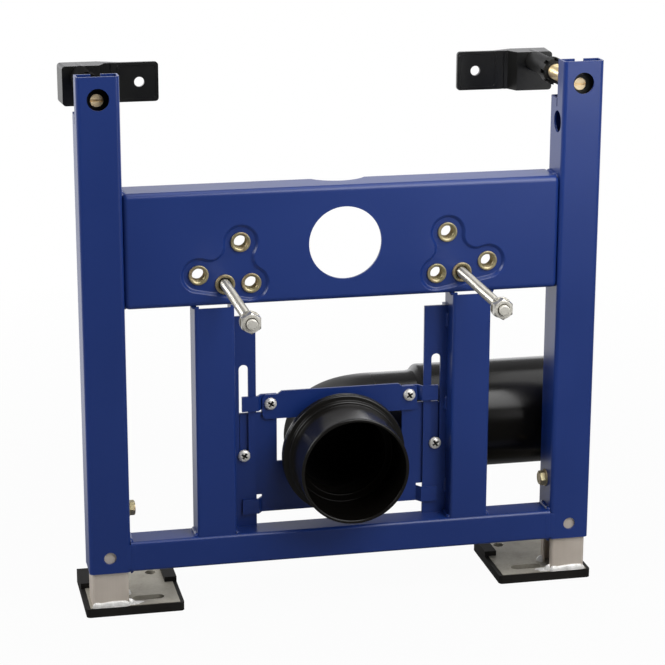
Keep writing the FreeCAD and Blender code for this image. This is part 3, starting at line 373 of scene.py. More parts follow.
on_stud = 1.0 - away.steps(STUD_RADIUS + 0.0002, STUD_RADIUS + 0.0006)
shank = on_stud * along.steps(front_end + 0.001, front_end + 0.002)
flank = away.steps(NUT_FLATS / 2.0 - 0.0003, NUT_FLATS / 2.0 + 0.0001)
feed(shader, Base_Color=shank.blend(bloom.spread().blend(ZINC_DARK, ZINC_LIGHT), SHANK_COLOUR),
     Metallic=0.30 + shank * 0.50 + flank * 0.60, Roughness=0.26 + streak * 0.14,
     Normal=streak.bump(STREAK_HEIGHT, strength=0.4))


def nut_rows(front, back):
    """Rows of a nut along its axis: a chamfer leads from each face to the corners."""
    return rounded([(front, STUD_RADIUS + 0.0006, 0.0002), (front, NUT_FACE, 0.0003),
                    (front + NUT_CHAMFER, NUT_CORNER, 0.0002), (back - NUT_CHAMFER, NUT_CORNER, 0.0002),
                    (back, NUT_FACE, 0.0003), (back, STUD_RADIUS, 0.0002)])


for side, sign in SIDES:
    stud_low, stud_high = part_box(side + "_stud")
    tip, tail = stud_low[1], stud_high[1]
    centre = (sign * STUD_X, 0.0, STUD_Z)
    rows = np.vstack([
        rounded([(tip, 0.0, 0.0), (tip, STUD_TIP, 0.0012), (tip + STUD_END / 2.0, STUD_RADIUS, 0.0005),
                 (tip + STUD_END, STUD_RADIUS, 0.0)]),
        thread(tip + STUD_END, tail - STUD_END, STUD_RADIUS, STUD_THREAD, STUD_PITCH),
        rounded([(tail - STUD_END, STUD_RADIUS, 0.0), (tail, STUD_TAIL, 0.0003), (tail, 0.0, 0.0)])])
    points = turned(rows, centre, Y_AXIS, 36, STUD_PITCH)
    stud = lay_grid(side + "_threaded_stud", points, bright_steel, "frame", sharp=60.0)
    points = turned(nut_rows(bush_back, bush_back + BACK_NUT_THICK), centre, Y_AXIS, 72, flats=NUT_FLATS)
    back_nut = lay_grid(side + "_back_nut", points, bright_steel, "frame", close_rows=True, sharp=25.0)
    for piece in (stud, back_nut):
        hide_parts(side + "_stud")
    nut_back, washer_back = tip + NUT_BACK, tip + WASHER_BACK
    points = turned(nut_rows(tip + NUT_FRONT, nut_back), centre, Y_AXIS, 72, flats=NUT_FLATS,
                    twist=math.pi / 6.0)
    lay_grid(side + "_nut", points, bright_steel, "frame", close_rows=True, sharp=25.0)
    rows = rounded([(nut_back, STUD_RADIUS, 0.0002), (nut_back, WASHER_RADIUS, 0.0004),
                    (washer_back, WASHER_RADIUS, 0.0004), (washer_back, STUD_RADIUS, 0.0002)])
    lay_grid(side + "_washer", turned(rows, centre, Y_AXIS, 64), bright_steel, "frame", close_rows=True)


# Legs and foot plates: square tube, slit along its inner side, welded on a flat plate, all in plain zinc.
# The tube shows fine draw lines along its length; the weld at its foot is bare and bright.
LEG_DARK, LEG_LIGHT = (0.62, 0.545, 0.465), (0.76, 0.680, 0.595)
DRAW_LINE_HEIGHT, SPOT_HEIGHT = 0.00003, 0.00004
zinc, shader, place = new_finish("plain_zinc")
cloud = place.noise(scale=25.0)
drawn = place.noise(scale=700.0, detail=2.0, stretch=(1.0, 1.0, 0.02))
feed(shader, Base_Color=(0.85 * cloud + 0.15 * drawn).spread().blend(LEG_DARK, LEG_LIGHT), Metallic=0.40,
     Roughness=0.38 + drawn * 0.10, Normal=drawn.bump(DRAW_LINE_HEIGHT, strength=0.3))
dress(zinc, *pair("leg"))

PLATE_DARK, PLATE_LIGHT = (0.285, 0.262, 0.212), (0.465, 0.440, 0.370)
plate_zinc, shader, place = new_finish("dull_zinc")
cloud = place.noise(scale=40.0)
spots = place.noise(scale=420.0, detail=2.0)
feed(shader, Base_Color=(0.7 * cloud + 0.3 * spots).spread().blend(PLATE_DARK, PLATE_LIGHT), Metallic=0.30,
     Roughness=0.46 + spots * 0.12, Normal=spots.bump(SPOT_HEIGHT, strength=0.4))
dress(plate_zinc, *pair("foot_plate"))


def splash(centre, reach, height):
    """A low dome of cooled metal on a flat underside.
    It is an ellipse with a wandering edge and falls from its middle with the square of the way out."""
    skin = 0.0001
    share = np.linspace(0.0, 1.0, 12)[:, None]
    angle = np.linspace(0.0, 2.0 * math.pi, 72, endpoint=False)[None, :]
    edge = 1.0 + 0.12 * np.sin(3.0 * angle + 0.7) + 0.08 * np.sin(5.0 * angle) + 0.04 * np.sin(11.0 * angle)
    rise = (1.0 - share ** 2) * (1.0 + 0.25 * np.sin(4.0 * angle + 9.0 * share))
    out = share * edge
    top = np.stack([out * np.cos(angle) * reach[0], out * np.sin(angle) * reach[1], rise * height], axis=2)
    under = top[::-1] * np.array((1.0, 1.0, 0.0)) - np.array((0.0, 0.0, skin))
    return np.array(centre) + np.vstack([top, under])


WELD_DARK, WELD_LIGHT, WELD_RIPPLE = (0.62, 0.61, 0.58), (0.92, 0.91, 0.88), 0.0002
INNER_FRONT_SEAM, INNER_BACK_SEAM, FRONT_SEAM, BACK_SEAM = 0.0055, 0.0050, 0.0046, 0.0045
SLIT_FRONT, SLIT_BACK = -0.0125, 0.0075
INNER_FRONT_INSET, INNER_BACK_INSET, FRONT_OVERRUN, BACK_INSET = 0.0002, 0.001, 0.001, 0.002
NARROW_FRONT, STEEP_UP = (0.0, -0.48, 0.0), (0.0, 0.0, 1.1)
SPLASH_REACH, SPLASH_HEIGHT, SPLASH_INWARD, SPLASH_BEHIND = (0.0095, 0.0050), 0.0011, 0.004, 0.0055
weld_metal, shader, place = new_finish("bare_weld")
cloud = place.noise(scale=160.0)
feed(shader, Base_Color=cloud.spread().blend(WELD_DARK, WELD_LIGHT), Metallic=0.2, Roughness=0.38,
     Normal=cloud.bump(WELD_RIPPLE, strength=0.5))
for side, sign in SIDES:
    leg_low, leg_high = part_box(side + "_leg")
    inner_x = min(leg_low[0], leg_high[0], key=abs)
    (left_x, front_y, plate_top), (right_x, back_y, _) = leg_low, leg_high
    inward = (-sign, 0, 0)
    runs = [((inner_x, front_y + INNER_FRONT_INSET, plate_top), (inner_x, SLIT_FRONT, plate_top),
             inward, UP, INNER_FRONT_SEAM),
            ((inner_x, SLIT_BACK, plate_top), (inner_x, back_y - INNER_BACK_INSET, plate_top),
             inward, UP, INNER_BACK_SEAM),
            ((left_x - FRONT_OVERRUN, front_y, plate_top), (right_x + FRONT_OVERRUN, front_y, plate_top),
             NARROW_FRONT, STEEP_UP, FRONT_SEAM),
            ((left_x + BACK_INSET, back_y, plate_top), (right_x - BACK_INSET, back_y, plate_top),
             BACK, UP, BACK_SEAM)]
    for number, run in enumerate(runs):
        lay_grid(f"{side}_foot_weld_{number}", seam(*run), weld_metal, side + "_foot")
    middle = (inner_x - sign * SPLASH_INWARD, front_y + SPLASH_BEHIND, plate_top)
    lay_grid(side + "_foot_splash", splash(middle, SPLASH_REACH, SPLASH_HEIGHT), weld_metal, side + "_foot")


# Foot pads: soft black mouldings under the foot plates, each with a low rim and two clips.
# Matt, with a fine spark-eroded grain.
PAD_DARK, PAD_LIGHT, PAD_GRAIN = (0.008, 0.007, 0.006), (0.013, 0.012, 0.010), 0.00005
pad_rubber, shader, place = new_finish("pad_moulding")
cloud = place.noise(scale=30.0, detail=2.0)
grain = place.noise(scale=1400.0, detail=2.0)
feed(shader, Base_Color=cloud.spread().blend(PAD_DARK, PAD_LIGHT), Roughness=0.58 + grain * 0.14,
     Normal=grain.bump(PAD_GRAIN, strength=0.6), Specular_IOR_Level=0.25)
dress(pad_rubber, *pair("foot_pad"))


# Clamp bolts: flanged hexagon bolts in yellow zinc, through the inner wall of each upright.
# Drawn up, they hold the legs at the height that is set.
BOLT_FLATS, BOLT_CORNER, BOLT_FLANGE, BOLT_RADIUS, BOLT_TIP = 0.013, 0.0077, 0.0090, 0.0040, 0.0032
HEAD_GROOVE, HEAD_GROOVE_EDGE, HEAD_GROOVE_DEPTH = 0.0040, 0.0046, 0.0004
HEAD_FACE, HEAD_CHAMFER, TIP_CHAMFER = 0.0061, 0.0010, 0.001
FLANGE_DEPTH, FLANGE_OVERLAP, SEAT_DEPTH = 0.0055, 0.0006, 0.0070
FLANGE_NECK, FLANGE_SHOULDER = 0.0066, 0.0086
for side, sign in SIDES:
    bolt_low, bolt_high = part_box(side + "_clamp_bolt")
    head, end = sorted((bolt_low[0], bolt_high[0]), key=abs)
    centre = (0.0, (bolt_low[1] + bolt_high[1]) / 2.0, (bolt_low[2] + bolt_high[2]) / 2.0)
    length = abs(end - head)
    head_rows = rounded([(0.0, 0.0, 0.0), (HEAD_GROOVE_DEPTH, HEAD_GROOVE, 0.0),
                         (0.0, HEAD_GROOVE_EDGE, 0.0003), (0.0, HEAD_FACE, 0.0002),
                         (HEAD_CHAMFER, BOLT_CORNER, 0.0002),
                         (FLANGE_DEPTH, BOLT_CORNER, 0.0), (FLANGE_DEPTH, 0.0, 0.0)])
    flange_top = FLANGE_DEPTH - FLANGE_OVERLAP
    shank_rows = rounded([(flange_top, 0.0, 0.0), (flange_top, FLANGE_NECK, 0.0),
                          (FLANGE_DEPTH, FLANGE_SHOULDER, 0.0006), (SEAT_DEPTH, BOLT_FLANGE, 0.0004),
                          (SEAT_DEPTH, BOLT_RADIUS, 0.0), (length - TIP_CHAMFER, BOLT_RADIUS, 0.0),
                          (length, BOLT_TIP, 0.0002), (length, 0.0, 0.0)])
    head_rows, shank_rows = (rows * (sign, 1.0, 1.0) + (head, 0.0, 0.0) for rows in (head_rows, shank_rows))
    bolt_head = lay_grid(side + "_bolt_head", turned(head_rows, centre, X_AXIS, 72, flats=BOLT_FLATS),
                         yellow_zinc, "frame", sharp=25.0)
    bolt_shank = lay_grid(side + "_bolt_shank", turned(shank_rows, centre, X_AXIS, 64), yellow_zinc, "frame")
    for piece in (bolt_head, bolt_shank):
        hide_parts(side + "_clamp_bolt")


# Waste bend: black polyethylene pipe, a pan socket with a collar, a quarter bend and an outlet socket.
# The three are butt welded, so a low bead runs round each joint; the clamp grips its neck.
SHADE_BLACK = (0.0025, 0.0022, 0.0018)


def paint_shade(shader, signal):
    """Paint shade: mix the shader with a dead black by a signal, so that the surface mirrors nothing there.
    """
    black = signal.node("ShaderNodeBsdfDiffuse", inputs={"Color": (*SHADE_BLACK, 1.0)})
    glossy = Signal(signal.tree, shader.outputs[0])
    mixed = signal.node("ShaderNodeMixShader", inputs={0: signal, 1: glossy, 2: black})
    plug(signal.tree.nodes["Material Output"].inputs["Surface"], mixed)


PIPE_DARK, PIPE_LIGHT, PIPE_GRAIN = (0.0062, 0.0056, 0.0048), (0.0100, 0.0092, 0.0080), 0.00004
MOUTH_BORE, SOCKET_BORE, SOCKET_OUTER, SHOULDER = 0.0490, 0.0485, 0.0525, 0.0555
BORE_ENDS, REAR_STARTS, REAR_ENDS = (-0.012, -0.010), (0.015, 0.040), (0.010, 0.060)
OUTLET_STARTS, OUTLET_CROWN = (0.080, 0.100), (0.018, 0.036)
FLANK_ENDS, FLANK_STARTS = (-0.042, -0.028), (0.010, 0.014)
black_pipe, shader, place = new_finish("black_polyethylene")
cloud = place.noise(scale=14.0)
grain = place.noise(scale=600.0)
scuff = place.noise(scale=90.0, detail=4.0, stretch=(1.0, 0.25, 1.0))
socket_low, socket_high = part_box("pan_socket")
WASTE_Z = (socket_low[2] + socket_high[2]) / 2.0
across, along, height = place.axes()
height = height - WASTE_Z
in_bore = 1.0 - across.off_axis(height).steps(MOUTH_BORE, MOUTH_BORE + 0.0010)
bore_shade = in_bore * (1.0 - along.steps(*BORE_ENDS))
behind = along.steps(*REAR_STARTS) * (1.0 - across.steps(*REAR_ENDS))
outlet_shade = across.steps(*OUTLET_STARTS) * (1.0 - height.steps(*OUTLET_CROWN))
bend_shade = (1.0 - across.steps(*FLANK_ENDS)) * along.steps(*FLANK_STARTS)
feed(shader, Base_Color=cloud.spread().blend(PIPE_DARK, PIPE_LIGHT),
     Roughness=0.17 + scuff * 0.08 + behind * 0.36, Normal=grain.bump(PIPE_GRAIN, strength=0.5),
     Specular_IOR_Level=0.45)
# Painted shade: the bore, the outlet's flanks below its crown and the left side of the bend are mixed with a
# dead black.
paint_shade(shader, bore_shade * 0.85 + outlet_shade * 0.62 + bend_shade * 0.80)

COLLAR_OUTER, COLLAR_GROOVE, NECK_OUTER, NECK_BEAD, NECK_BORE = 0.0605, 0.0590, 0.0450, 0.0458, 0.0410
SHOULDER_WIDTH, COLLAR_WIDTH, GROOVE_START, GROOVE_END = 0.005, 0.009, 0.0037, 0.0053
COLLAR_Y, SOCKET_FLOOR, MOUTH_LIP, MOUTH_TAPER = -0.017, -0.015, 0.004, 0.010
NECK_BEAD_WIDTH, NECK_BEAD_CREST = 0.0016, 0.0006
mouth, neck_end = socket_low[1], socket_high[1]
shoulder_y, collar_back = COLLAR_Y - SHOULDER_WIDTH, COLLAR_Y + COLLAR_WIDTH
groove_start, groove_end = COLLAR_Y + GROOVE_START, COLLAR_Y + GROOVE_END
rows = rounded([(mouth, MOUTH_BORE, 0.0016), (mouth, SOCKET_OUTER, 0.0014),
                (mouth + MOUTH_LIP, SOCKET_OUTER, 0.0),
                (shoulder_y, SOCKET_OUTER, 0.0006), (shoulder_y, SHOULDER, 0.0016),
                (COLLAR_Y, SHOULDER, 0.0006), (COLLAR_Y, COLLAR_OUTER, 0.0018),
                (groove_start, COLLAR_OUTER, 0.0003), (groove_start, COLLAR_GROOVE, 0.0003),
                (groove_end, COLLAR_GROOVE, 0.0003), (groove_end, COLLAR_OUTER, 0.0003),
                (collar_back, COLLAR_OUTER, 0.0012), (collar_back, NECK_OUTER, 0.0010),
                (neck_end - NECK_BEAD_WIDTH, NECK_OUTER, 0.0004),
                (neck_end - NECK_BEAD_CREST, NECK_BEAD, 0.0006),
                (neck_end, NECK_OUTER, 0.0), (neck_end, NECK_BORE, 0.0), (SOCKET_FLOOR, NECK_BORE, 0.0015),
                (SOCKET_FLOOR, SOCKET_BORE, 0.0015), (mouth + MOUTH_TAPER, SOCKET_BORE, 0.0)])
socket = lay_grid("waste_pan_socket", turned(rows, (0.0, 0.0, WASTE_Z), Y_AXIS, 160), black_pipe,
                  "waste_clamp", close_rows=True, sharp=50.0)
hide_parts("pan_socket")


def piped(path, ahead, radius, count=120):
    """A round section carried along a path.
    Each ring stands square to the way ahead, spanned by the level direction across it and by up."""
    angle = np.linspace(0.0, 2.0 * math.pi, count, endpoint=False)[None, :, None]
    across = np.column_stack([ahead[:, 1], -ahead[:, 0], np.zeros(len(ahead))])[:, None, :]
    return path[:, None, :] + radius[:, None, None] * (np.cos(angle) * across + np.sin(angle) * np.array(UP))


BEND_RADIUS, BEND_OUTER, BEND_BORE = 0.050, 0.0480, 0.0440
BEAD_HEIGHT, BEAD_WIDTH = 0.0008, 0.0015
outlet_low, outlet_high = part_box("outlet_socket")
run_y, joint_x, end_x = (outlet_low[1] + outlet_high[1]) / 2.0, outlet_low[0], outlet_high[0]
bend_y = run_y - BEND_RADIUS
sweep = np.linspace(0.0, math.pi / 2.0, 40)
throat = np.linspace(neck_end, bend_y, 12)[:-1]
run = np.linspace(BEND_RADIUS, joint_x, 12)[1:]
swept_x, swept_y = BEND_RADIUS * (1.0 - np.cos(sweep)), bend_y + BEND_RADIUS * np.sin(sweep)
path = np.column_stack([np.concatenate([0.0 * throat, swept_x, run]),
                        np.concatenate([throat, swept_y, 0.0 * run + run_y]),
                        np.full(len(throat) + len(sweep) + len(run), WASTE_Z)])
ahead = np.vstack([np.tile(BACK, (len(throat), 1)),
                   np.column_stack([np.sin(sweep), np.cos(sweep), 0.0 * sweep]),
                   np.tile(RIGHT, (len(run), 1))])
gone = np.concatenate([[0.0], np.cumsum(np.linalg.norm(np.diff(path, axis=0), axis=1))])
bead = BEAD_HEIGHT * (np.exp(-(gone / BEAD_WIDTH) ** 2) + np.exp(-((gone[-1] - gone) / BEAD_WIDTH) ** 2))
outer, inner = piped(path, ahead, BEND_OUTER + bead), piped(path, ahead, BEND_BORE - bead)
bend = lay_grid("waste_quarter_bend", np.vstack([outer, inner[::-1]]), black_pipe, "waste_clamp",
                close_rows=True, sharp=50.0)
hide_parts("waste_bend")

OUTLET_OUTER, OUTLET_BORE, OUTLET_MOUTH, OUTLET_BEAD = 0.05425, 0.05025, 0.05070, 0.04850
OUTLET_LIP, OUTLET_BEAD_CREST, OUTLET_FLARE, OUTLET_FLOOR = 0.0040, 0.0010, 0.0060, 0.0100
rows = rounded([(joint_x, BEND_BORE, 0.0), (joint_x, BEND_OUTER, 0.0),
                (joint_x + OUTLET_BEAD_CREST, OUTLET_BEAD, 0.0006),
                (joint_x + OUTLET_FLARE, OUTLET_OUTER, 0.0020),
                (end_x - OUTLET_LIP, OUTLET_OUTER, 0.0), (end_x, OUTLET_OUTER, 0.0014),
                (end_x, OUTLET_MOUTH, 0.0014), (end_x - OUTLET_LIP, OUTLET_BORE, 0.0010),
                (joint_x + OUTLET_FLOOR, OUTLET_BORE, 0.0015), (joint_x + OUTLET_FLOOR, BEND_BORE, 0.0015)])
outlet = lay_grid("waste_outlet_socket", turned(rows, (0.0, run_y, WASTE_Z), X_AXIS, 120), black_pipe,
                  "waste_clamp", close_rows=True, sharp=50.0)
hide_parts("outlet_socket")


# Clamp screws: four pan head screws of bright zinc, two in the strap and two in the slotted rails.
# Each head is a low dome with a cross recess.
SCREWS = (("strap_screws", 0.069, 0.198), ("rail_screws", 0.0954, 0.147))
HEAD_RADIUS, DOME_RADIUS, HEAD_THICK, HEAD_EDGE = 0.0060, 0.0058, 0.004, 0.0005
SCREW_RADIUS, SCREW_END, SCREW_CHAMFER = 0.0030, 0.0022, 0.001
DOME_FALL, DOME_SHARE, CIRCLE_FALL = 0.0022, 0.92, 0.6
ARM, HALF_BAR, CROSS_DEPTH, CROSS_WALL, CROSS_TURN = 0.0034, 0.0009, 0.0024, 0.0006, 0.6
COS, SIN = math.cos(CROSS_TURN), math.sin(CROSS_TURN)
SCREW_DARK, SCREW_LIGHT, CROSS_SHADE_COLOUR = (0.72, 0.70, 0.65), (0.92, 0.90, 0.85), (0.02, 0.02, 0.018)
BLUR = 0.0002


def cross_sunk(points, centre):
    """The points of a head moved in where a cross lies over it: two bars with sloping walls and floors."""
    mirrored = math.copysign(1.0, centre[0])
    beside, above = mirrored * (points[:, :, 0] - centre[0]), points[:, :, 2] - centre[2]
    first, second = np.abs(beside * COS + above * SIN), np.abs(above * COS - beside * SIN)

    def within(distance, limit):
        return np.clip((limit - distance) / CROSS_WALL + 0.5, 0.0, 1.0)

    cross = np.maximum(within(first, ARM) * within(second, HALF_BAR),
                       within(first, HALF_BAR) * within(second, ARM))
    floor_slope = np.clip(1.3 - 0.8 * np.maximum(first, second) / ARM, 0.0, 1.0)
    moved = points.copy()
    moved[:, :, 1] += cross * CROSS_DEPTH * floor_slope
    return moved


screw_zinc, shader, place = new_finish("screw_zinc")
bloom = place.noise(scale=300.0, detail=2.0)
across, _, height = place.axes()
# Painted shade: the cross recess in each head is coloured near black.
bars = []
for _, x, z in SCREWS:
    beside, above = across.size() - x, height - z
    first, second = (beside * COS + above * SIN).size(), (above * COS - beside * SIN).size()
    for wide, tall in ((ARM, HALF_BAR), (HALF_BAR, ARM)):
        past_side, past_end = first.steps(wide - BLUR, wide + BLUR), second.steps(tall - BLUR, tall + BLUR)
        bars.append((1.0 - past_side) * (1.0 - past_end))
cross_shade = bars[0]
for bar in bars[1:]:
    cross_shade = cross_shade.math("MAXIMUM", cross_shade, bar)
feed(shader, Base_Color=cross_shade.blend(bloom.spread().blend(SCREW_DARK, SCREW_LIGHT), CROSS_SHADE_COLOUR),
     Metallic=0.35, Roughness=0.26 + bloom * 0.1)
for name, x, z in SCREWS:
    low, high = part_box(name)
    head, seat, end = low[1], low[1] + HEAD_THICK, high[1]
    share = np.linspace(0.0, 1.0, 40)
    fall = DOME_FALL * (1.0 - np.sqrt(1.0 - (share * DOME_SHARE) ** 2)) / CIRCLE_FALL
    dome = np.column_stack([head + fall, DOME_RADIUS * share, 0.0 * share])
    rest = rounded([(seat - HEAD_EDGE, HEAD_RADIUS, 0.0004), (seat, HEAD_RADIUS, 0.0003),
                    (seat, SCREW_RADIUS, 0.0), (end - SCREW_CHAMFER, SCREW_RADIUS, 0.0),
                    (end, SCREW_END, 0.0), (end, 0.0, 0.0)])
    for side, sign in SIDES:
        centre = (sign * x, 0.0, z)
        points = turned(np.vstack([dome, rest]), centre, Y_AXIS, 96)
        points[:len(dome)] = cross_sunk(points[:len(dome)], centre)
        screw = lay_grid(f"{side}_{name}", points, screw_zinc, "waste_clamp", sharp=45.0)
        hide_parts(name)


# Strips behind the clamp plate: the rail screws are tightened into them through the slots.
# Coated sheet with rounded corners, which slides with the clamp.
def pressed(rows, centre, half, count=96):
    """A flat piece in the upright plane: rows of (along, inset) carried round a rectangle.
    Its corners are round, because the outline is a superellipse: each half size times the fifth root
    of the cosine or of the sine."""
    angle = np.linspace(0.0, 2.0 * math.pi, count, endpoint=False)
    across, height = (np.sign(wave) * np.abs(wave) ** 0.2 for wave in (np.cos(angle), np.sin(angle)))
    along, inset = np.array(rows, dtype=float).T[:, :, None]
    return np.stack([centre[0] + (half[0] - inset) * across, along + 0.0 * across,
                     centre[1] + (half[1] - inset) * height], axis=2)


STRIP_HALF, STRIP_X, STRIP_Z = (0.0070, 0.0240), 0.0955, 0.163
STRIP_GAP, STRIP_THICK, STRIP_EDGE = 0.0003, 0.0020, 0.0004
strip_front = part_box("clamp_plate")[1][1] + STRIP_GAP
strip_back = strip_front + STRIP_THICK
rows = [(strip_front, STRIP_HALF[0]), (strip_front, STRIP_EDGE), (strip_front + STRIP_EDGE, 0.0),
        (strip_back - STRIP_EDGE, 0.0), (strip_back, STRIP_EDGE), (strip_back, STRIP_HALF[0])]
for side, sign in SIDES:
    points = pressed(rows, (sign * STRIP_X, STRIP_Z), STRIP_HALF)
    lay_grid(side + "_slot_strip", points, blue_coat, "waste_clamp")


# Wall brackets and adjusting rings: black mouldings, smooth enough to mirror the room at a low angle.
# The brackets run on the rods, and a ring on each rod sets the distance to the wall.
# A low rim runs round each wing, and a flange closes the hole round each rod's head.
MOULDING_DARK, MOULDING_LIGHT, MOULDING_GRAIN = (0.006, 0.006, 0.006), (0.011, 0.011, 0.010), 0.00003
BLOCK_DEPTH, WING_DEPTH = 0.026, 0.0130
RIM_HALF, RIM_INWARD, RIM_RISE = (0.0200, 0.0183), 0.0212, 0.0195
RIM_WIDTH, RIM_HEIGHT, RIM_SLOPE, RIM_ROOT = 0.0020, 0.0005, 0.0003, 0.0001
FLANGE_BORE, FLANGE_OUTER, FLANGE_FRONT, FLANGE_BACK = 0.0096, 0.0172, 0.0013, 0.0001
black_moulding, shader, place = new_finish("black_moulding")
cloud = place.noise(scale=30.0, detail=2.0)
grain = place.noise(scale=900.0, detail=2.0)
block_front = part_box("left_wall_bracket")[1][1] - BLOCK_DEPTH
across, along, _ = place.axes()
matt = 1.0 - along.steps(block_front - 0.0020, block_front - 0.0005)
left = 1.0 - across.steps(-0.01, 0.01)
feed(shader, Base_Color=cloud.spread().blend(MOULDING_DARK, MOULDING_LIGHT),
     Roughness=0.24 + grain * 0.14 + matt * 0.22, Normal=grain.bump(MOULDING_GRAIN, strength=0.5),
     Specular_IOR_Level=0.36)
# Painted shade: in front of the left block, the bosses, rings and sleeves are mixed with a dead black.
paint_shade(shader, matt * left * 0.85)
dress(black_moulding, *pair("wall_bracket", "rod_ring", "rod_sleeve"))
for side, sign in SIDES:
    bracket_low, bracket_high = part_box(side + "_wall_bracket")
    wing_front = bracket_high[1] - WING_DEPTH
    wing_end = min(abs(bracket_low[0]), abs(bracket_high[0]))
    middle = (sign * (wing_end + RIM_INWARD), bracket_low[2] + RIM_RISE)
    rim_root, rim_top = wing_front + RIM_ROOT, wing_front - RIM_HEIGHT
    rows = [(rim_root, 0.0), (rim_top, RIM_SLOPE), (rim_top, RIM_WIDTH - RIM_SLOPE), (rim_root, RIM_WIDTH)]
    lay_grid(side + "_wing_rim", pressed(rows, middle, RIM_HALF), black_moulding, side + "_bracket",
             close_rows=True)
    sleeve_low, sleeve_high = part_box(side + "_rod_sleeve")
    centre = (np.array(sleeve_low) + np.array(sleeve_high)) / 2.0
    flange_front, flange_back = sleeve_high[1] - FLANGE_FRONT, sleeve_high[1] - FLANGE_BACK
    rows = rounded([(flange_back, FLANGE_BORE, 0.0), (flange_front, FLANGE_BORE, 0.0),
                    (flange_front, FLANGE_OUTER, 0.0003), (flange_back, FLANGE_OUTER, 0.0003)])
    lay_grid(side + "_sleeve_flange", turned(rows, centre, Y_AXIS, 64), black_moulding, "frame",
             close_rows=True)


# Rods: threaded steel in yellow zinc. The neck drops into the lips of the upright.
# The slotted end shows through the round hole in the front of the upright.
ROD_PITCH, ROD_THREAD, ROD_END = 0.002, 0.0011, 0.002
ROD_FACE, ROD_HEAD, ROD_NECK, FACE_INSET = 0.0057, 0.0062, 0.0044, 0.0001
ROD_CHAMFER, ROD_SHOULDER, ROD_TIP = 0.0006, 0.0006, 0.0014
ROD_NECK_FRONT, ROD_NECK_BACK = -0.004, -0.002
SLOT_HALF, SLOT_DEPTH = 0.0010, 0.0024
END_LIT_COLOUR, END_BAND = (1.0, 0.79, 0.48), (-0.0070, -0.0050)
rod_zinc, shader, place = new_finish("rod_zinc")
bloom = place.noise(scale=260.0)
tint = bloom.ramp((0.32, (0.66, 0.47, 0.22)), (0.48, (0.84, 0.65, 0.36)), (0.66, (0.76, 0.66, 0.42)))
# Painted light: the end face of each rod is paler and less metallic, standing in for light on the head in
# the shade of the hole.
lit_end_face = 1.0 - place.axes()[1].steps(*END_BAND)
feed(shader, Base_Color=lit_end_face.blend(tint, END_LIT_COLOUR), Metallic=0.70 - lit_end_face * 0.60,
     Roughness=0.28 + bloom * 0.12)
for side, _ in SIDES:
    rod_low, rod_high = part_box(side + "_rod")
    head, end = rod_low[1], rod_high[1]
    radius = (rod_high[2] - rod_low[2]) / 2.0
    centre = ((rod_low[0] + rod_high[0]) / 2.0, 0.0, (rod_low[2] + rod_high[2]) / 2.0)
    share = np.linspace(0.0, 1.0, 30)
    face = np.column_stack([head + 0.0 * share, (ROD_FACE - FACE_INSET) * share, 0.0 * share])
    rows = np.vstack([
        face,
        rounded([(head, ROD_FACE, 0.0), (head + ROD_CHAMFER, ROD_HEAD, 0.0002),
                 (ROD_NECK_FRONT, ROD_HEAD, 0.0003), (ROD_NECK_FRONT, ROD_NECK, 0.0003),
                 (ROD_NECK_BACK, ROD_NECK, 0.0003), (ROD_NECK_BACK, radius - ROD_SHOULDER, 0.0003),
                 (0.0, radius, 0.0)]),
        thread(0.0, end - ROD_END, radius, ROD_THREAD, ROD_PITCH),
        rounded([(end - ROD_END, radius, 0.0), (end, radius - ROD_TIP, 0.0), (end, 0.0, 0.0)])])
    points = turned(rows, centre, Y_AXIS, 64, ROD_PITCH)
    in_slot = np.abs(points[:len(face), :, 2] - centre[2]) < SLOT_HALF
    points[:len(face), :, 1] += np.where(in_slot, SLOT_DEPTH, 0.0)
    rod = lay_grid(side + "_threaded_rod", points, rod_zinc, "frame", sharp=50.0)
    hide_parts(side + "_rod")


# Studio: a pale floor that keeps a faint shadow, and a room that is bright behind and dim in front.
# Soft lamps: a large one above, a strong one on the left, and three weaker ones on the right.
WHITE = (1.0, 1.0, 1.0)
FLOOR_HALF, FLOOR_Z, FLOOR_GREY = 4.0, -0.0004, (0.38, 0.38, 0.38)
FLOOR_MIRROR_NEAR, FLOOR_MIRROR_FAR = (0.10, 0.10, 0.10), (0.95, 0.95, 0.95)
SHADOW_FADES, FLOOR_DEEP, SHADOW = (0.5, 1.3), (0.0, 0.6), 0.04
corners = [(x * FLOOR_HALF, y * FLOOR_HALF, FLOOR_Z) for x, y in ((-1, -1), (1, -1), (1, 1), (-1, 1))]
floor_mesh = bpy.data.meshes.new("floor")
floor_mesh.from_pydata(corners, [], [(0, 1, 2, 3)])
floor = bpy.data.objects.new("floor", floor_mesh)
bpy.context.scene.collection.objects.link(floor)
floor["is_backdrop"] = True
floor_finish, shader, place = new_finish("floor")
feed(shader, Base_Color=(*FLOOR_GREY, 1.0), Roughness=0.9, Specular_IOR_Level=0.0)
seen = place.node("ShaderNodeLightPath", out="Is Camera Ray")
mirrored = place.node("ShaderNodeLightPath", out="Is Glossy Ray")
distance = place.node("ShaderNodeVectorMath", {"operation": "LENGTH"}, {0: place}, out="Value")
whiteness = (1.0 - SHADOW) + SHADOW * distance.steps(*SHADOW_FADES)
white = place.node("ShaderNodeEmission", inputs={"Color": (*WHITE, 1.0), "Strength": 1.0})
dimmed = place.axes()[1].steps(*FLOOR_DEEP).blend(FLOOR_MIRROR_NEAR, FLOOR_MIRROR_FAR)
dim = place.node("ShaderNodeEmission", inputs={"Color": dimmed, "Strength": 1.0})
plain = Signal(place.tree, shader.outputs[0])
mixed = place.node("ShaderNodeMixShader", inputs={0: seen * whiteness, 1: plain, 2: white})
mixed = place.node("ShaderNodeMixShader", inputs={0: mirrored, 1: mixed, 2: dim})
plug(place.tree.nodes["Material Output"].inputs["Surface"], mixed)
floor_mesh.materials.append(floor_finish)

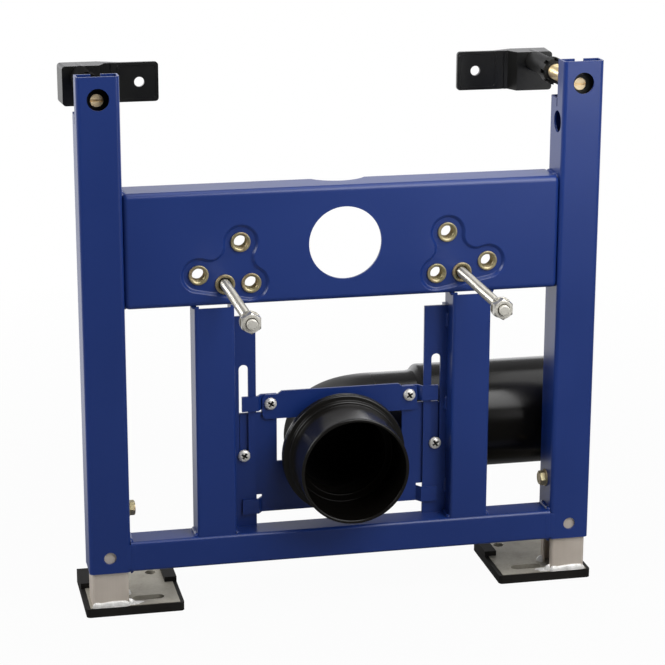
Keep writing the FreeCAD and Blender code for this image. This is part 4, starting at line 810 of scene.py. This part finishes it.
ROOM_FRONT, ROOM_BACK = (0.06, 0.06, 0.065), (1.00, 1.00, 1.02)
MIRROR_FRONT, MIRROR_BACK = (0.05, 0.05, 0.055), (1.45, 1.45, 1.48)
ROOM_DEEP, MIRROR_DEEP, CEILING, CEILING_DIM = (-0.35, 0.55), (-0.05, 0.65), (0.24, 0.33), 0.85
world = bpy.data.worlds.new("studio")
world.use_nodes = True
bpy.context.scene.world = world
way = Signal(world.node_tree).node("ShaderNodeTexCoord", out="Generated")
_, deep, high = way.axes()
room = deep.steps(*ROOM_DEEP).blend(ROOM_FRONT, ROOM_BACK)
lit = deep.steps(*MIRROR_DEEP) * (1.0 - CEILING_DIM * high.steps(*CEILING))
mirrored = way.node("ShaderNodeLightPath", out="Is Glossy Ray")
seen = way.node("ShaderNodeLightPath", out="Is Camera Ray")
colour = seen.blend(mirrored.blend(room, lit.blend(MIRROR_FRONT, MIRROR_BACK)), WHITE)
plug(world.node_tree.nodes["Background"].inputs["Color"], colour)


def stand(name, held, right, up, back, spot):
    """An object for a lamp or a camera: its three axes and its spot are the columns of its matrix."""
    holder = bpy.data.objects.new(name, held)
    holder.matrix_world = Matrix([*zip(right, up, back, spot), (0.0, 0.0, 0.0, 1.0)])
    bpy.context.scene.collection.objects.link(holder)
    return holder


LAMPS = (("top_lamp", (0.35, 0.0, 2.1), (0.0, 0.0, 0.3), 1.6, 12.0),
         ("left_lamp", (-2.2, -0.3, 1.4), (0.0, 0.0, 0.3), 1.2, 34.0),
         ("right_lamp", (1.8, -1.6, 1.0), (0.0, 0.0, 0.3), 1.0, 3.0),
         ("high_lamp", (0.42, -0.70, 1.00), (0.1, 0.0, 0.45), 0.8, 10.0),
         ("low_right_lamp", (0.85, -1.5, 0.45), (0.1, 0.0, 0.4), 0.5, 2.6))
for name, spot, aim, size, power in LAMPS:
    lamp = bpy.data.lights.new(name, "AREA")
    lamp.size = size
    lamp.energy = power
    back = np.array(spot) - np.array(aim)
    back = back / np.linalg.norm(back)
    right = np.cross(BACK, back)
    right = right / np.linalg.norm(right)
    stand(name, lamp, right, np.cross(back, right), back, spot)


# Camera: a long lens, a little to the left of the frame and above it, as in the photograph.
# Its place and its turns were fitted to edges and holes of the frame.
EYE = (-0.442453, -1.990575, 0.8474176)
YAW, PITCH, ROLL = -0.214663, 0.277805, 0.00228
SENSOR, FOCAL_LENGTH = 36.0, 119.32
ahead = np.array((-math.sin(YAW) * math.cos(PITCH), math.cos(YAW) * math.cos(PITCH), -math.sin(PITCH)))
level = np.array((math.cos(YAW), math.sin(YAW), 0.0))
upward = np.cross(level, ahead)
right = math.cos(ROLL) * level + math.sin(ROLL) * upward
up = math.cos(ROLL) * upward - math.sin(ROLL) * level
lens = bpy.data.cameras.new("camera")
lens.sensor_width = SENSOR
lens.lens = FOCAL_LENGTH
bpy.context.scene.camera = stand("camera", lens, right, up, -ahead, EYE)
bpy.context.scene.view_settings.view_transform = "Standard"

low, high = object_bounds()
